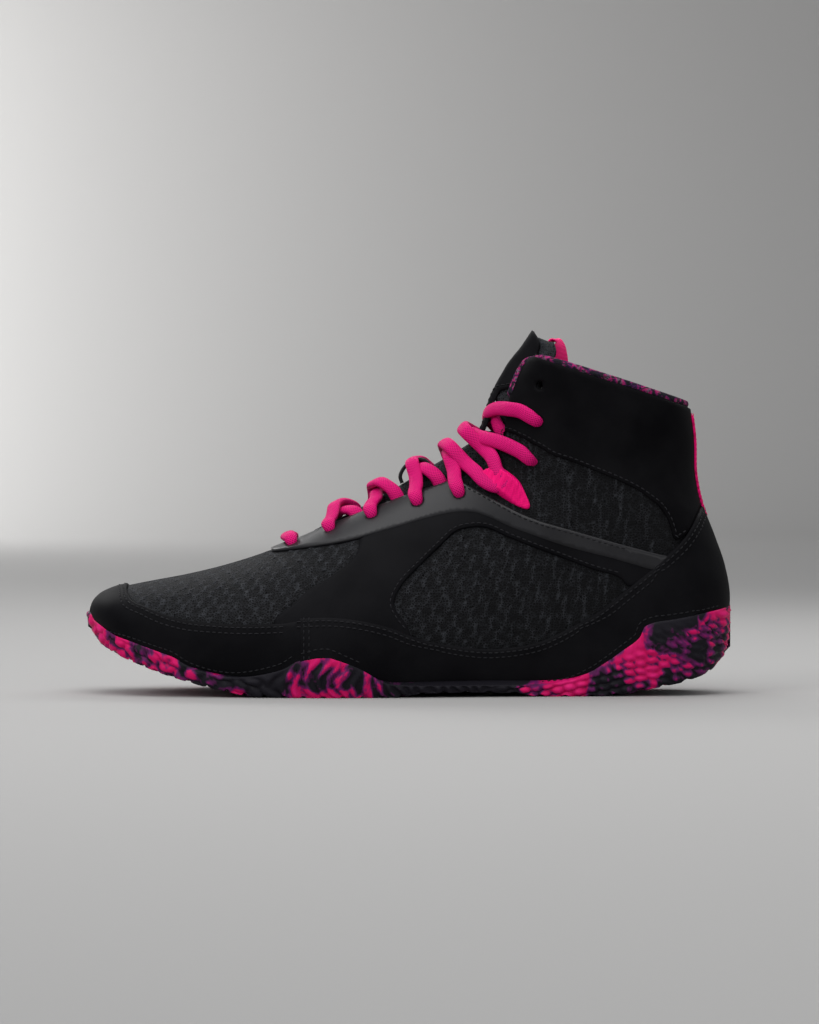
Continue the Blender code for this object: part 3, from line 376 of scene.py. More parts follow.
def shift(path, side, distance, closed=False):
    """The line moved sideways along the last, to the left of its run seen from outside."""
    r, turn = path[:, 0], path[:, 1]
    p = place(r, side, turn)
    if closed:
        ahead = np.roll(p, -1, axis=0) - np.roll(p, 1, axis=0)
    else:
        ahead = np.gradient(p, axis=0)
    left = unit(np.cross(facing(r, side, turn), unit(ahead)))
    e = 1e-3
    by_row = (place(r + e, side, turn) - place(np.maximum(r - e, 0), side, turn)) / (2 * e)
    by_turn = (place(r, side, turn + e) - place(r, side, turn - e)) / (2 * e)
    a, b, c = np.sum(by_row**2, 1), np.sum(by_row * by_turn, 1), np.sum(by_turn**2, 1)
    u, v = np.sum(by_row * left, 1) * distance, np.sum(by_turn * left, 1) * distance
    det = np.maximum(a * c - b * b, 1e-14)
    moved = np.stack([r + (u * c - v * b) / det, turn + (v * a - u * b) / det], axis=1)
    moved[:, 0] = np.clip(moved[:, 0], 0, COLLAR_ROW)
    moved[:, 1] = np.clip(moved[:, 1], 0, math.pi)
    return moved


# Plies: closed sheets on the last inside outlines

FLAT_ROWS = np.linspace(0, 26, 261)
FLAT_GIRTH = {}
for flat_side in (OUTER, INNER):
    spots = place(FLAT_ROWS[:, None], flat_side, np.linspace(0, math.pi, 60)[None, :])
    FLAT_GIRTH[flat_side] = np.linalg.norm(np.diff(spots, axis=1), axis=2).sum(axis=1)


def flat(r, turn, side):
    """Rows and turns unrolled into a plane, in millimetres."""
    travel = np.interp(r, np.arange(len(KNOTS)), KNOTS) / 2
    girth = np.interp(r, FLAT_ROWS, FLAT_GIRTH[side])
    return np.stack([travel, girth * turn / math.pi], axis=-1) / MM


def inside(points, loop):
    """Which points lie inside a closed loop, in the plane."""
    x, y = points[:, 0], points[:, 1]
    result = np.zeros(len(points), bool)
    for (ax, ay), (bx, by) in zip(loop, np.roll(loop, -1, axis=0)):
        if ay == by:
            continue
        crosses = (ay > y) != (by > y)
        result ^= crosses & (x < (bx - ax) * (y - ay) / (by - ay) + ax)
    return result


def spread(loop, side, spacing, blocked):
    """Points inside a loop at about even spacing, clear of the blocked ones."""
    low, high = loop[:, 0].min(), loop[:, 0].max()
    fine = np.linspace(low, high, max(8, int((high - low) * 40)))
    rim = [np.linalg.norm(np.diff(place(fine, side, t), axis=0), axis=1) for t in (0.4, 1.6, math.pi)]
    run = np.concatenate([[0], np.cumsum(np.maximum.reduce(rim))])
    count = max(3, int(run[-1] / spacing))
    chosen = []
    for j, r in enumerate(np.interp(np.linspace(0, run[-1], count + 1), run, fine)):
        turns = np.linspace(0, math.pi, 181)
        arc = np.concatenate([[0], np.cumsum(np.linalg.norm(np.diff(place(r, side, turns), axis=0), axis=1))])
        number = int(arc[-1] / spacing)
        if number < 1:
            continue
        at = (np.arange(number) + 0.25 + 0.5 * (j % 2)) * spacing
        chosen.append(np.stack([np.full(number, r), np.interp(at, arc, turns)], axis=1))
    chosen = np.vstack(chosen)
    chosen = chosen[inside(flat(chosen[:, 0], chosen[:, 1], side), flat(loop[:, 0], loop[:, 1], side))]
    cells, limit, kept = {}, 0.62 * spacing, []

    def clear(p, far):
        key = tuple(int(v // limit) for v in p)
        near = [
            q for dx in (-1, 0, 1) for dy in (-1, 0, 1) for dz in (-1, 0, 1)
            for q in cells.get((key[0] + dx, key[1] + dy, key[2] + dz), ())
        ]
        if far and any((p[0] - q[0]) ** 2 + (p[1] - q[1]) ** 2 + (p[2] - q[2]) ** 2 < limit**2 for q in near):
            return False
        cells.setdefault(key, []).append(p)
        return True

    for p in place(blocked[:, 0], side, blocked[:, 1]).tolist():
        clear(p, False)
    for spot, p in zip(chosen, place(chosen[:, 0], side, chosen[:, 1]).tolist()):
        if clear(p, True):
            kept.append(spot)
    return np.array(kept).reshape(-1, 2)


def circle(r, turn, side, radius, count=16):
    """A round loop on the last about a point."""
    e = 1e-3
    by_row = (place(r + e, side, turn) - place(r - e, side, turn)) / (2 * e)
    by_turn = (place(r, side, turn + e) - place(r, side, turn - e)) / (2 * e)
    first = unit(by_row)
    second = unit(by_turn - first * np.dot(by_turn, first))
    a, b, c = np.dot(by_row, by_row), np.dot(by_row, by_turn), np.dot(by_turn, by_turn)
    result = []
    for k in range(count):
        angle = 2 * math.pi * k / count
        step = (first * math.cos(angle) + second * math.sin(angle)) * radius
        u, v = np.dot(by_row, step), np.dot(by_turn, step)
        det = a * c - b * b
        result.append((r + (u * c - v * b) / det, turn + (v * a - u * b) / det))
    return np.array(result)


def make(name, points, faces, paint, uv=None, marks=None, weld=0.002 * MM):
    """A shaded piece riding on the one body, with coincident points made one."""
    mesh = bpy.data.meshes.new(name)
    mesh.from_pydata([tuple(p) for p in np.asarray(points, float).tolist()], [], faces)
    paints = paint if isinstance(paint, (list, tuple)) else [paint]
    for one in paints:
        mesh.materials.append(one)
    if marks is not None:
        mesh.polygons.foreach_set("material_index", marks)
    if uv is not None:
        layer = mesh.uv_layers.new(name="UVMap")
        corner = np.zeros(len(mesh.loops), int)
        mesh.loops.foreach_get("vertex_index", corner)
        layer.data.foreach_set("uv", np.asarray(uv, float)[corner].ravel())
    work = bmesh.new()
    work.from_mesh(mesh)
    if weld:
        bmesh.ops.remove_doubles(work, verts=work.verts, dist=weld)
    bmesh.ops.recalc_face_normals(work, faces=work.faces)
    work.to_mesh(mesh)
    work.free()
    mesh.shade_smooth()
    made = bpy.data.objects.new(name, mesh)
    bpy.context.scene.collection.objects.link(made)
    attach(made, "root")
    return made


def ply(name, loops, low, high, paint, spacing=1.7 * MM, roll=0.45 * MM, holes=(), lift=None,
    under=None, fade=2.2 * MM):
    """A closed sheet between two offsets inside a loop on each side, with a rolled edge.

    loops: {side: closed loop}. holes: {side: [loops]}. lift(points, side) raises the face.
    under: the paint of the inner face.
    """
    points, faces, marks, uv = [], [], [], []
    for side, loop in loops.items():
        loop = even(loop, side, spacing * 0.8, closed=True)
        area = flat(loop[:, 0], loop[:, 1], side)
        if np.sum(area[:, 0] * np.roll(area[:, 1], -1) - area[:, 1] * np.roll(area[:, 0], -1)) * side < 0:
            loop = loop[::-1]
        row = rows(loop[:, 0])
        seam = (loop[:, 1] < 1e-4) | ((loop[:, 1] > math.pi - 1e-4) & (row.seat == 0)) | (loop[:, 0] < 1e-4)
        inner = shift(loop, side, roll, closed=True)
        inner[seam] = loop[seam]
        for k in np.nonzero(seam)[0]:
            for other, mate in (((k + 1) % len(loop), k - 1), (k - 1, (k + 1) % len(loop))):
                if not seam[other] and seam[mate]:
                    length = np.linalg.norm(place(*loop[mate][:1], side, loop[mate][1])
                        - place(*loop[k][:1], side, loop[k][1]))
                    inner[k] = loop[k] + (loop[mate] - loop[k]) * min(0.8, roll / max(length, 1e-9))
        rings = [np.asarray(h) for h in (holes.get(side, []) if holes else [])]
        blocked = np.vstack([inner] + rings + [loop])
        spots = spread(inner, side, spacing, blocked)
        for ring in rings:
            if len(spots):
                spots = spots[~inside(flat(spots[:, 0], spots[:, 1], side),
                    flat(ring[:, 0], ring[:, 1], side))]
        field = np.vstack([inner] + rings + [spots])
        plane = flat(field[:, 0], field[:, 1], side)
        edges, at = [], 0
        for ring in [inner] + rings:
            edges += [(at + i, at + (i + 1) % len(ring)) for i in range(len(ring))]
            at += len(ring)
        out_points, _, out_faces, origin, _, _ = delaunay_2d_cdt(
            [Vector(p) for p in plane.tolist()], edges, [], 0, 1e-5, True
        )
        first = [o[0] if o else -1 for o in origin]
        middles = np.array([np.mean([out_points[v] for v in f], axis=0) for f in out_faces])
        good = inside(middles, flat(inner[:, 0], inner[:, 1], side))
        for ring in rings:
            good &= ~inside(middles, flat(ring[:, 0], ring[:, 1], side))
        triangles = [
            tuple(first[v] for v in f) for f, ok in zip(out_faces, good)
            if ok and all(first[v] >= 0 for v in f)
        ]
        base = place(field[:, 0], side, field[:, 1])
        top = np.full(len(field), high)
        if lift is not None:
            raised = np.linalg.norm(base, axis=1) * 0 + lift(base, side, field)
            rim = place(loop[:, 0], side, loop[:, 1])
            tree = kdtree.KDTree(len(rim))
            for i, p in enumerate(rim):
                tree.insert(p, i)
            tree.balance()
            top = top + raised * np.array([min(1.0, tree.find(p)[2] / fade) for p in base])
        start = len(points)
        count, border = len(field), len(loop)
        points += on_last(field[:, 0], side, field[:, 1], top).tolist()
        points += on_last(field[:, 0], side, field[:, 1], low).tolist()
        points += on_last(loop[:, 0], side, loop[:, 1], low + (high - low) * 0.55).tolist()
        points += on_last(loop[:, 0], side, loop[:, 1], low).tolist()
        around = np.stack([loop[:, 0], loop[:, 1]], axis=1)
        for group in (field, field, around, around):
            spot = place(group[:, 0], side, group[:, 1])
            girth = flat(group[:, 0], group[:, 1], side)[:, 1] * MM
            uv += np.stack([spot[:, 0], girth], axis=1).tolist()
        for a, b, c in triangles:
            faces.append((start + a, start + b, start + c))
            faces.append((start + count + c, start + count + b, start + count + a))
            marks += [0, 1]
        mid, foot = start + 2 * count, start + 2 * count + border
        for i in range(border):
            j = (i + 1) % border
            if seam[i] and seam[j]:
                continue
            faces += [(start + i, start + j, mid + j, mid + i), (mid + i, mid + j, foot + j, foot + i)]
            faces.append((foot + i, foot + j, start + count + j, start + count + i))
            marks += [0, 0, 1]
        at = border
        for ring in rings:
            for i in range(len(ring)):
                a, b = start + at + i, start + at + (i + 1) % len(ring)
                faces.append((a, b, b + count, a + count))
                marks.append(0)
            at += len(ring)
    paints = [paint, under or paint]
    return make(name, points, faces, paints, uv, marks)


# Materials

class Paint:
    """A Principled material built from a few kinds of node."""

    def __init__(self, name, colour, roughness, **sockets):
        self.made = bpy.data.materials.new(name)
        self.made.use_nodes = True
        self.tree = self.made.node_tree
        self.shader = self.tree.nodes["Principled BSDF"]
        self.put("Base Color", (*colour, 1))
        self.put("Roughness", roughness)
        for key, value in sockets.items():
            self.put(key.replace("_", " "), value)

    def put(self, socket, value, node=None):
        place_in = (node or self.shader).inputs[socket]
        if isinstance(value, bpy.types.NodeSocket):
            self.tree.links.new(value, place_in)
        else:
            place_in.default_value = value
        return self

    def node(self, kind, **inputs):
        made = self.tree.nodes.new("ShaderNode" + kind)
        for key, value in inputs.items():
            if hasattr(made, key) and key not in ("scale",):
                setattr(made, key, value)
            else:
                self.put(key.replace("_", " "), value, made)
        return made

    def uv(self, scale=(1, 1, 1), turn=0.0):
        where = self.node("UVMap", uv_map="UVMap").outputs["UV"]
        return self.node("Mapping", Vector=where, Scale=scale, Rotation=(0, 0, turn)).outputs["Vector"]

    def spot(self, scale=(1, 1, 1), turn=(0, 0, 0)):
        where = self.node("TexCoord").outputs["Object"]
        return self.node("Mapping", Vector=where, Scale=scale, Rotation=turn).outputs["Vector"]

    def noise(self, vector, scale, detail=3.0, rough=0.5, distortion=0.0):
        return self.node(
            "TexNoise", Vector=vector, Scale=scale, Detail=detail, Roughness=rough, Distortion=distortion
        ).outputs["Fac"]

    def sum(self, operation, a, b=0.0, c=None):
        made = self.node("Math", operation=operation)
        for i, value in enumerate((a, b, c)):
            if value is None:
                continue
            if isinstance(value, bpy.types.NodeSocket):
                self.tree.links.new(value, made.inputs[i])
            else:
                made.inputs[i].default_value = value
        return made.outputs[0]

    def wave(self, vector, scale, axis="X", distortion=0.0, profile="SIN"):
        made = self.node("TexWave", Vector=vector, Scale=scale, Distortion=distortion)
        made.bands_direction, made.wave_profile = axis, profile
        return made.outputs["Fac"]

    def ramp(self, value, stops, interpolation="LINEAR"):
        made = self.node("ValToRGB")
        self.put("Fac", value, made)
        made.color_ramp.interpolation = interpolation
        points = made.color_ramp.elements
        while len(points) < len(stops):
            points.new(0.5)
        for point, (at, colour) in zip(points, stops):
            point.position = at
            point.color = (*colour, 1) if isinstance(colour, (tuple, list)) else (colour, colour, colour, 1)
        return made.outputs["Color"]

    def mix(self, share, a, b):
        made = self.node("Mix", data_type="RGBA")
        for i, value in ((0, share), (6, a), (7, b)):
            if isinstance(value, bpy.types.NodeSocket):
                self.tree.links.new(value, made.inputs[i])
            else:
                made.inputs[i].default_value = value if i == 0 else (*value, 1)
        return made.outputs[2]

    def bump(self, height, distance, strength=1.0):
        self.put("Normal", self.node("Bump", Height=height, Distance=distance,
            Strength=strength).outputs["Normal"])
        return self

    def mark(self, name):
        return self.node("Attribute", attribute_name=name).outputs["Fac"]


def film_paint(name, colour, roughness, grain=0.05, **sockets):
    """Fused microfibre film: fine grain, slightly uneven gloss, rubbed lighter in patches."""
    p = Paint(name, colour, roughness, **sockets)
    where = p.spot()
    pores = p.noise(where, 2600, 4, 0.6)
    broad = p.noise(where, 38, 4, 0.55)
    light = tuple(min(1, c * 1.5 + 0.003) for c in colour)
    p.put("Base Color", p.mix(p.ramp(broad, [(0.35, 0.0), (0.75, 1.0)]), colour, light))
    rough = p.sum("MULTIPLY_ADD", p.sum("ADD", broad, p.sum("MULTIPLY", pores, 0.5)), 0.16, roughness - 0.12)
    p.put("Roughness", rough)
    return p.bump(pores, grain * MM).made


def mesh_paint(name, dark, light):
    """Open sports mesh: a net of yarn round small dark holes, with painted shade in the dimples and at the
    ankle, darker towards the back.
    """
    p = Paint(name, dark, 0.72, Specular_IOR_Level=0.10)
    holes = p.node("TexVoronoi", feature="DISTANCE_TO_EDGE", Vector=p.spot(), Scale=860, Randomness=0.8)
    net = p.sum("MULTIPLY_ADD", holes.outputs["Distance"], -1.5, 0.64)
    tone = p.sum("MULTIPLY_ADD", p.noise(p.spot(), 330, 3, 0.65), 0.62, net)
    # Painted shade: the middles of the dimples are darkened from the cell attribute.
    tone = p.sum("MULTIPLY_ADD", p.mark("cell"), -0.26, tone)
    # Painted shade: the mesh is darker towards the heel and ankle along X.
    place_x = p.node("SeparateXYZ", Vector=p.node("TexCoord").outputs["Object"]).outputs["X"]
    tone = p.sum("MULTIPLY_ADD", place_x, -0.60, tone)
    middle = tuple(0.62 * a + 0.38 * b for a, b in zip(dark, light))
    p.put("Base Color", p.ramp(tone, [(0.50, dark), (0.72, middle), (0.96, light)]))
    return p.bump(net, 0.28 * MM).made


def knit_paint(name, roughness=0.85):
    """Marbled lining knit in pink, purple and black."""
    p = Paint(name, (0.1, 0.02, 0.08), roughness, Specular_IOR_Level=0.1)
    where = p.spot()
    blots = p.noise(where, 260, 3, 0.6, 0.8)
    second = p.noise(p.spot((1, 1, 1), (0.4, 0.9, 0.2)), 420, 2, 0.6, 0.6)
    colour = p.ramp(blots,
        [(0.42, (0.012, 0.012, 0.016)), (0.48, (0.07, 0.02, 0.10)), (0.54, (0.50, 0.01, 0.15)),
        (0.60, (0.16, 0.10, 0.16))])
    colour = p.mix(p.ramp(second, [(0.52, 0.0), (0.60, 1.0)]), colour, (0.02, 0.018, 0.025))
    p.put("Base Color", colour)
    flat_map = p.uv((1000, 1000, 1000))
    loops_x, loops_y = p.wave(flat_map, 0.55, "X"), p.wave(flat_map, 0.75, "Y")
    return p.bump(p.sum("MULTIPLY", loops_x, loops_y), 0.25 * MM).made


# Where along the sole the marbling runs pink, or black: (centre, reach, push)
BIAS = [
    (-0.125, 0.022, 0.07), (-0.088, 0.010, -0.03), (-0.062, 0.009, -0.30), (-0.030, 0.020, 0.09),
    (0.026, 0.030, -0.34), (0.074, 0.016, 0.10), (0.092, 0.007, -0.06), (0.106, 0.006, 0.05),
    (0.122, 0.011, -0.10), (0.140, 0.007, 0.05),
]


def marble_paint(name):
    """Marbled rubber: deep pink swirled with purple and near black, darker at the ball and arch, with painted
    shade in the hollows of the moulded relief and pinker raised tops.
    """
    p = Paint(name, (0.5, 0.02, 0.12), 0.5, Specular_IOR_Level=0.10)
    where = p.spot((1, 1, 0.8), (0, 0.5, 0))
    swirl = p.noise(where, 62, 3, 0.5, 0.9)
    fine = p.noise(p.spot(), 190, 2, 0.5, 0.8)
    pink, rose = (0.56, 0.004, 0.10), (0.72, 0.014, 0.18)
    purple, black = (0.13, 0.012, 0.10), (0.010, 0.009, 0.013)
    tone = p.sum("MULTIPLY_ADD", fine, 0.22, swirl)
    place_x = p.node("SeparateXYZ", Vector=p.node("TexCoord").outputs["Object"]).outputs["X"]
    for centre, reach, push in BIAS:
        far = p.sum("DIVIDE", p.sum("SUBTRACT", place_x, centre), reach)
        hump = p.sum("POWER", 2.718, p.sum("MULTIPLY", p.sum("MULTIPLY", far, far), -1.0))
        tone = p.sum("MULTIPLY_ADD", hump, push, tone)
    # Painted shade: darker in the hollows of the moulded side relief, pinker on its raised tops.
    tone = p.sum("MULTIPLY_ADD", p.mark("relief"), 0.10, tone)
    colour = p.ramp(tone, [(0.54, black), (0.61, purple), (0.66, pink), (0.86, rose)])
    p.put("Base Color", colour)
    grain = p.noise(p.spot(), 900, 3, 0.6)
    p.put("Roughness", p.sum("MULTIPLY_ADD", grain, 0.25, 0.36))
    return p.bump(grain, 0.05 * MM).made


def braid_paint(name, colour, deep):
    """Braided flat lace: slanted yarns both ways, with painted shade, a darker copy of its colour, between
    them. Its map runs in metres along and across.
    """
    p = Paint(name, colour, 0.6, Specular_IOR_Level=0.12)
    one = p.wave(p.uv((1000, 1000, 1000), 0.62), 0.42, "X")
    two = p.wave(p.uv((1000, 1000, 1000), -0.62), 0.42, "X")
    high = p.sum("MAXIMUM", one, two)
    # Painted shade: the darker copy fills the grooves between the yarns.
    p.put("Base Color", p.ramp(high, [(0.25, deep), (0.8, colour)]))
    return p.bump(high, 0.22 * MM).made


def web_paint(name, colour, deep, pitch=0.5, depth=0.2):
    """Woven tape with ribs across it, with painted shade, a darker copy of its colour, between the ribs."""
    p = Paint(name, colour, 0.55, Specular_IOR_Level=0.12)
    flat_map = p.uv((1000, 1000, 1000))
    ribs, weft = p.wave(flat_map, pitch, "X"), p.wave(flat_map, pitch * 1.6, "Y")
    high = p.sum("MULTIPLY_ADD", weft, 0.35, ribs)
    # Painted shade: the darker copy fills the grooves between the ribs.
    p.put("Base Color", p.ramp(high, [(0.1, deep), (0.8, colour)]))
    return p.bump(high, depth * MM).made


TEXTILE = mesh_paint("black sports mesh", (0.0020, 0.0020, 0.0025), (0.030, 0.032, 0.037))
FILM = film_paint("black microfibre", (0.0023, 0.0022, 0.0030), 0.60, Specular_IOR_Level=0.048)
GLOSS = film_paint("glossy charcoal film", (0.0080, 0.0078, 0.0092), 0.34, 0.02, Specular_IOR_Level=0.20)
CLOTH = film_paint("black collar microfibre", (0.0018, 0.0017, 0.0023), 0.68, Specular_IOR_Level=0.042)
# The second colour of the thread, lace, webbing and footbed is their painted shade between the yarns.
THREAD = web_paint("black thread", (0.020, 0.020, 0.023), (0.006, 0.006, 0.007), 0.9, 0.08)
KNIT = knit_paint("marbled lining")
RUBBER = marble_paint("marbled rubber")
LACE = braid_paint("deep pink lace", (0.70, 0.004, 0.17), (0.30, 0.0015, 0.065))
WEB = web_paint("bright pink webbing", (1.0, 0.003, 0.20), (0.62, 0.001, 0.10), 0.55, 0.18)
FOOTBED = web_paint("black footbed cloth", (0.010, 0.010, 0.012), (0.003, 0.003, 0.004), 0.8, 0.15)


# Outlines of the plies

TUCK = 2.6 * MM


def both(build):
    """The same loop worked out for each side."""
    return {side: build(side) for side in (OUTER, INNER)}


def part_of(shares, low=-1.0, high=2.0):
    return [p for p in shares if low <= p[0] <= high]


def row_of_ridge(x):
    """The row whose top point lies at this share of the length."""
    fine = np.linspace(0, 14, 2801)
    return float(np.interp(along(x), rows(fine).top_x, fine))


def row_of_back(z):
    """The row whose low point reaches this height on the back line."""
    fine = np.linspace(16.7, 24, 1461)
    return float(np.interp(z, rows(fine).low_z, fine))


def upper_loop(side):
    return np.vstack([
        run_at(0, THROAT_ROW, 0.0), run_at(THROAT_ROW, COLLAR_ROW, None, side),
        [[COLLAR_ROW, t] for t in np.linspace(float(throat(COLLAR_ROW, side)), math.pi, 40)],
        run_at(COLLAR_ROW, 0, math.pi, count=200),
    ])


def guard_loop(side):
    top = line(GUARD_TOP[:-2] + [(0.338, 0.305), (0.338, 0.20), (0.338, 0.145)], side)
    low = line([(0.338, 0.140)] + [p for p in SOLE_TOP if p[0] < 0.32][::-1], side, -TUCK)
    ridge_row = float(top[0, 0])
    return np.vstack([run_at(0, ridge_row, 0.0), top[1:], low,
        run_at(float(low[-1, 0]), 0, math.pi, count=10)])


def wrap_loop(side):
    top = line(WRAP_TOP, side)
    low = line([(1.04, 0.345), (0.970, 0.347)] + [p for p in SOLE_TOP if 0.33 < p[0] < 0.96][::-1]
        + [(0.331, 0.15)], side, -TUCK)
    top = top[: int(np.argmax(top[:, 1] > math.pi - 0.02)) + 1] if (top[:, 1] > math.pi - 0.02).any() else top
    low = low[int(np.argmax(low[:, 1] < math.pi - 0.02)):]
    high_row, low_row = float(top[-1, 0]), float(low[0, 0])
    return np.vstack([top, run_at(high_row, low_row, math.pi), low])


def saddle_loop(side):
    bottom = line(part_of(WRAP_TOP, high=0.51)[::-1], side, -TUCK)
    front = line([(0.318, 0.284), (0.296, 0.286), (0.2935, 0.318), (0.302, 0.340), (0.319, 0.372),
        (0.341, 0.428), (0.378, 0.489), (0.409, 0.551), (0.420, 0.590), (0.424, 0.640)], side)
    top = line(part_of(EYESTAY_LOW, low=0.43) + [(0.895, 0.515)], side, TUCK)
    rear = line([(0.889, 0.50), (0.858, 0.455), (0.836, 0.455)] + WINDOW_EDGE + [(0.503, 0.245)], side)
    return np.vstack([bottom, front, top, rear])


def eyestay_loop(side):
    front = row_of_ridge(0.284)
    top = line([(0.575, 0.885)] + EYESTAY_TOP[::-1] + [(0.905, 0.572)], side)
    low = line([(0.900, 0.505)] + EYESTAY_LOW[::-1] + [(0.290, 0.585), (0.2845, 0.586), (0.2838, 0.600)],
        side)
    return np.vstack([run_at(front, THROAT_ROW, 0.0), run_at(THROAT_ROW, float(top[0, 0]), None, side),
        top[1:], low[:-1]])


def cuff_loop(side):
    low = line(CUFF_LOW[::-1], side)
    low = low[int(np.argmax(low[:, 1] < math.pi - 0.02)):]
    rim = COLLAR_ROW - 0.16
    return np.vstack([
        run_at(float(low[-1, 0]), rim, None, side),
        [[rim, t] for t in np.linspace(float(throat(rim, side)) + 0.01, math.pi, 40)],
        run_at(rim, float(low[0, 0]), math.pi), low,
    ])


def vamp_loop(side):
    start, stop = row_of_ridge(0.050), row_of_ridge(0.293)
    rear = line([(0.293, 0.640), (0.304, 0.612), (0.362, 0.638), (0.409, 0.658), (0.436, 0.668),
        (0.436, 0.60), (0.405, 0.50), (0.362, 0.43), (0.325, 0.372), (0.312, 0.28)], side)
    low = line([(0.312, 0.270), (0.304, 0.272), (0.253, 0.268), (0.198, 0.273), (0.159, 0.283),
        (0.128, 0.302), (0.097, 0.331), (0.066, 0.365), (0.051, 0.395), (0.0495, 0.44), (0.0495, 0.47)], side)
    return np.vstack([run_at(start, stop, 0.0), rear[1:], low[:-1]])


def window_loop(side):
    edge = shift(line(WINDOW_EDGE, side), side, -side * TUCK)
    bottom = line([(0.478, 0.262), (0.534, 0.203), (0.565, 0.189), (0.596, 0.178), (0.627, 0.174),
        (0.674, 0.186), (0.705, 0.207), (0.736, 0.243), (0.783, 0.310), (0.830, 0.405), (0.848, 0.440)], side)
    return np.vstack([edge, bottom])




def ankle_loop(side):
    top = line(CUFF_LOW[:-3], side, TUCK)
    rear = line([(0.916, 0.615), (0.893, 0.545), (0.890, 0.560)], side)
    low = line([(0.890, 0.562)] + EYESTAY_TOP + [(0.575, 0.885)], side, -TUCK)
    return np.vstack([run_at(float(low[-1, 0]), float(top[0, 0]), None, side), top[1:], rear, low[:-1]])


def tape_loop(side):
    low_row, high_row = row_of_back(back(0.610)), row_of_back(back(0.957))
    half = TAPE_WIDTH / 2
    r = np.linspace(high_row, low_row, 40)
    row = rows(r)
    wide = row.outer if side == OUTER else row.inner
    edge = math.pi - np.arcsin(np.clip(half / wide, 0, 1) ** (row.round / 2))
    across = np.linspace(1, 0, 12)[:, None]
    top = np.stack([np.full(12, high_row), math.pi - (math.pi - edge[0]) * across[::-1, 0]], axis=1)
    foot = np.stack([np.full(12, low_row), math.pi - (math.pi - edge[-1]) * across[:, 0]], axis=1)
    return np.vstack([top, np.stack([r, edge], axis=1), foot, run_at(low_row, high_row, math.pi, count=40)])


def eyelet(r):
    """How far out from the ridge an eyelet lies."""
    inset = dict(zip(CUFF_EYELETS, CUFF_INSETS)).get(r, EYELET_INSET)
    return float(rows(r).gap) + inset


def eyelet_holes(eyelets, radius):
    holes = {}
    for side in (OUTER, INNER):
        holes[side] = [circle(r, float(turn_out(r, side, eyelet(r))), side, radius) for r in eyelets]
    return holes


# Relief of the mesh: dimpled hexagons, each a small float attribute for the material too, which paints shade
# into the dimples

CELL_WIDTH, CELL_HEIGHT, CELL_DEPTH = 7.0 * MM, 3.8 * MM, 0.55 * MM


def cells(u, v):
    """0 on the walls between cells, 1 in the middle of a cell, over a staggered lattice."""
    best = np.full(np.shape(u), 9.0)
    for shift_u, shift_v in ((0, 0), (0.5, 0.5)):
        du = (u / CELL_WIDTH + shift_u) % 1 - 0.5
        dv = (v / (CELL_HEIGHT * 2) + shift_v) % 1 - 0.5
        best = np.minimum(best, np.maximum(np.abs(dv) * 2.05, np.abs(du) * 1.5 + np.abs(dv) * 1.05))
    return ease((0.86 - best) / 0.42)


def dimples(points, side, field):
    girth = flat(field[:, 0], field[:, 1], side)[:, 1] * MM
    return -CELL_DEPTH * cells(points[:, 0] + 0.35 * girth, girth)


def mark_cells(made):
    """Keeps the lattice as an attribute of the points, from their map."""
    mesh = made.data
    value = np.zeros(len(mesh.vertices))
    layer = mesh.uv_layers["UVMap"].data
    for polygon in mesh.polygons:
        for k in polygon.loop_indices:
            u, v = layer[k].uv
            value[mesh.loops[k].vertex_index] = float(cells(np.float64(u + 0.35 * v), np.float64(v)))
    attribute = mesh.attributes.new("cell", "FLOAT", "POINT")
    attribute.data.foreach_set("value", value.astype(np.float32))


# The webbing folds over the lace's turn at its front end
LOOP_FACE = [
    (0.6090, 0.903), (0.6230, 0.925), (0.6395, 0.938), (0.6560, 0.915), (0.6700, 0.880), (0.6795, 0.830),
    (0.6860, 0.779), (0.6830, 0.767), (0.6720, 0.773), (0.6540, 0.797), (0.6370, 0.826), (0.6190, 0.868),
]


def over_lace(points, side, field):
    start, end = np.array([along(0.611), rise(0.905)]), np.array([along(0.686), rise(0.772)])
    run = (points[:, [0, 2]] - start) @ (end - start) / np.sum((end - start) ** 2)
    return 3.3 * MM * ease(run / 0.05) * (1 - ease((run - 0.38) / 0.48)) + 0.25 * MM * np.cos(run * 60)


upper = ply(
    "upper_shell", both(upper_loop), -WALL, 0.0, TEXTILE, 2.6 * MM,
    roll=0.7 * MM, holes=eyelet_holes(EYESTAY_EYELETS + CUFF_EYELETS, EYELET_RADIUS), under=KNIT,
)
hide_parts("upper")
for name, loop in (("vamp_mesh", vamp_loop), ("quarter_mesh", window_loop), ("ankle_mesh", ankle_loop)):
    made = ply(name, both(loop), 0.02 * MM, 0.45 * MM, TEXTILE, 0.95 * MM, 0.3 * MM,
        lift=dimples)
    mark_cells(made)
mark_cells(upper)

guard = ply("toe_guard_film", both(guard_loop), 0.05 * MM, GAP + GUARD_PLY, FILM, 1.7 * MM,
    0.6 * MM)
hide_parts("toe_guard")
wrap = ply("heel_wrap_film", both(wrap_loop), 0.05 * MM, GAP + GUARD_PLY + 0.25 * MM, FILM,
    1.7 * MM, 0.65 * MM)
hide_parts("heel_wrap")
for side, word in ((OUTER, "lateral"), (INNER, "medial")):
    made = ply(f"saddle_film_{word}", {side: saddle_loop(side)}, 0.05 * MM, GAP + SADDLE_PLY, FILM,
        1.6 * MM, 0.45 * MM)
    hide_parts(f"saddle_{word}")
    loop = line(LOOP_FACE + LOOP_FACE[:1], side)[:-1]
    made = ply(
        f"webbing_loop_{word}", {side: loop}, 0.10 * MM, GAP + WEBBING_PLY, WEB, 0.8 * MM,
        0.4 * MM,
        lift=over_lace, fade=1.5 * MM,
    )
    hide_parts(f"loop_{word}")
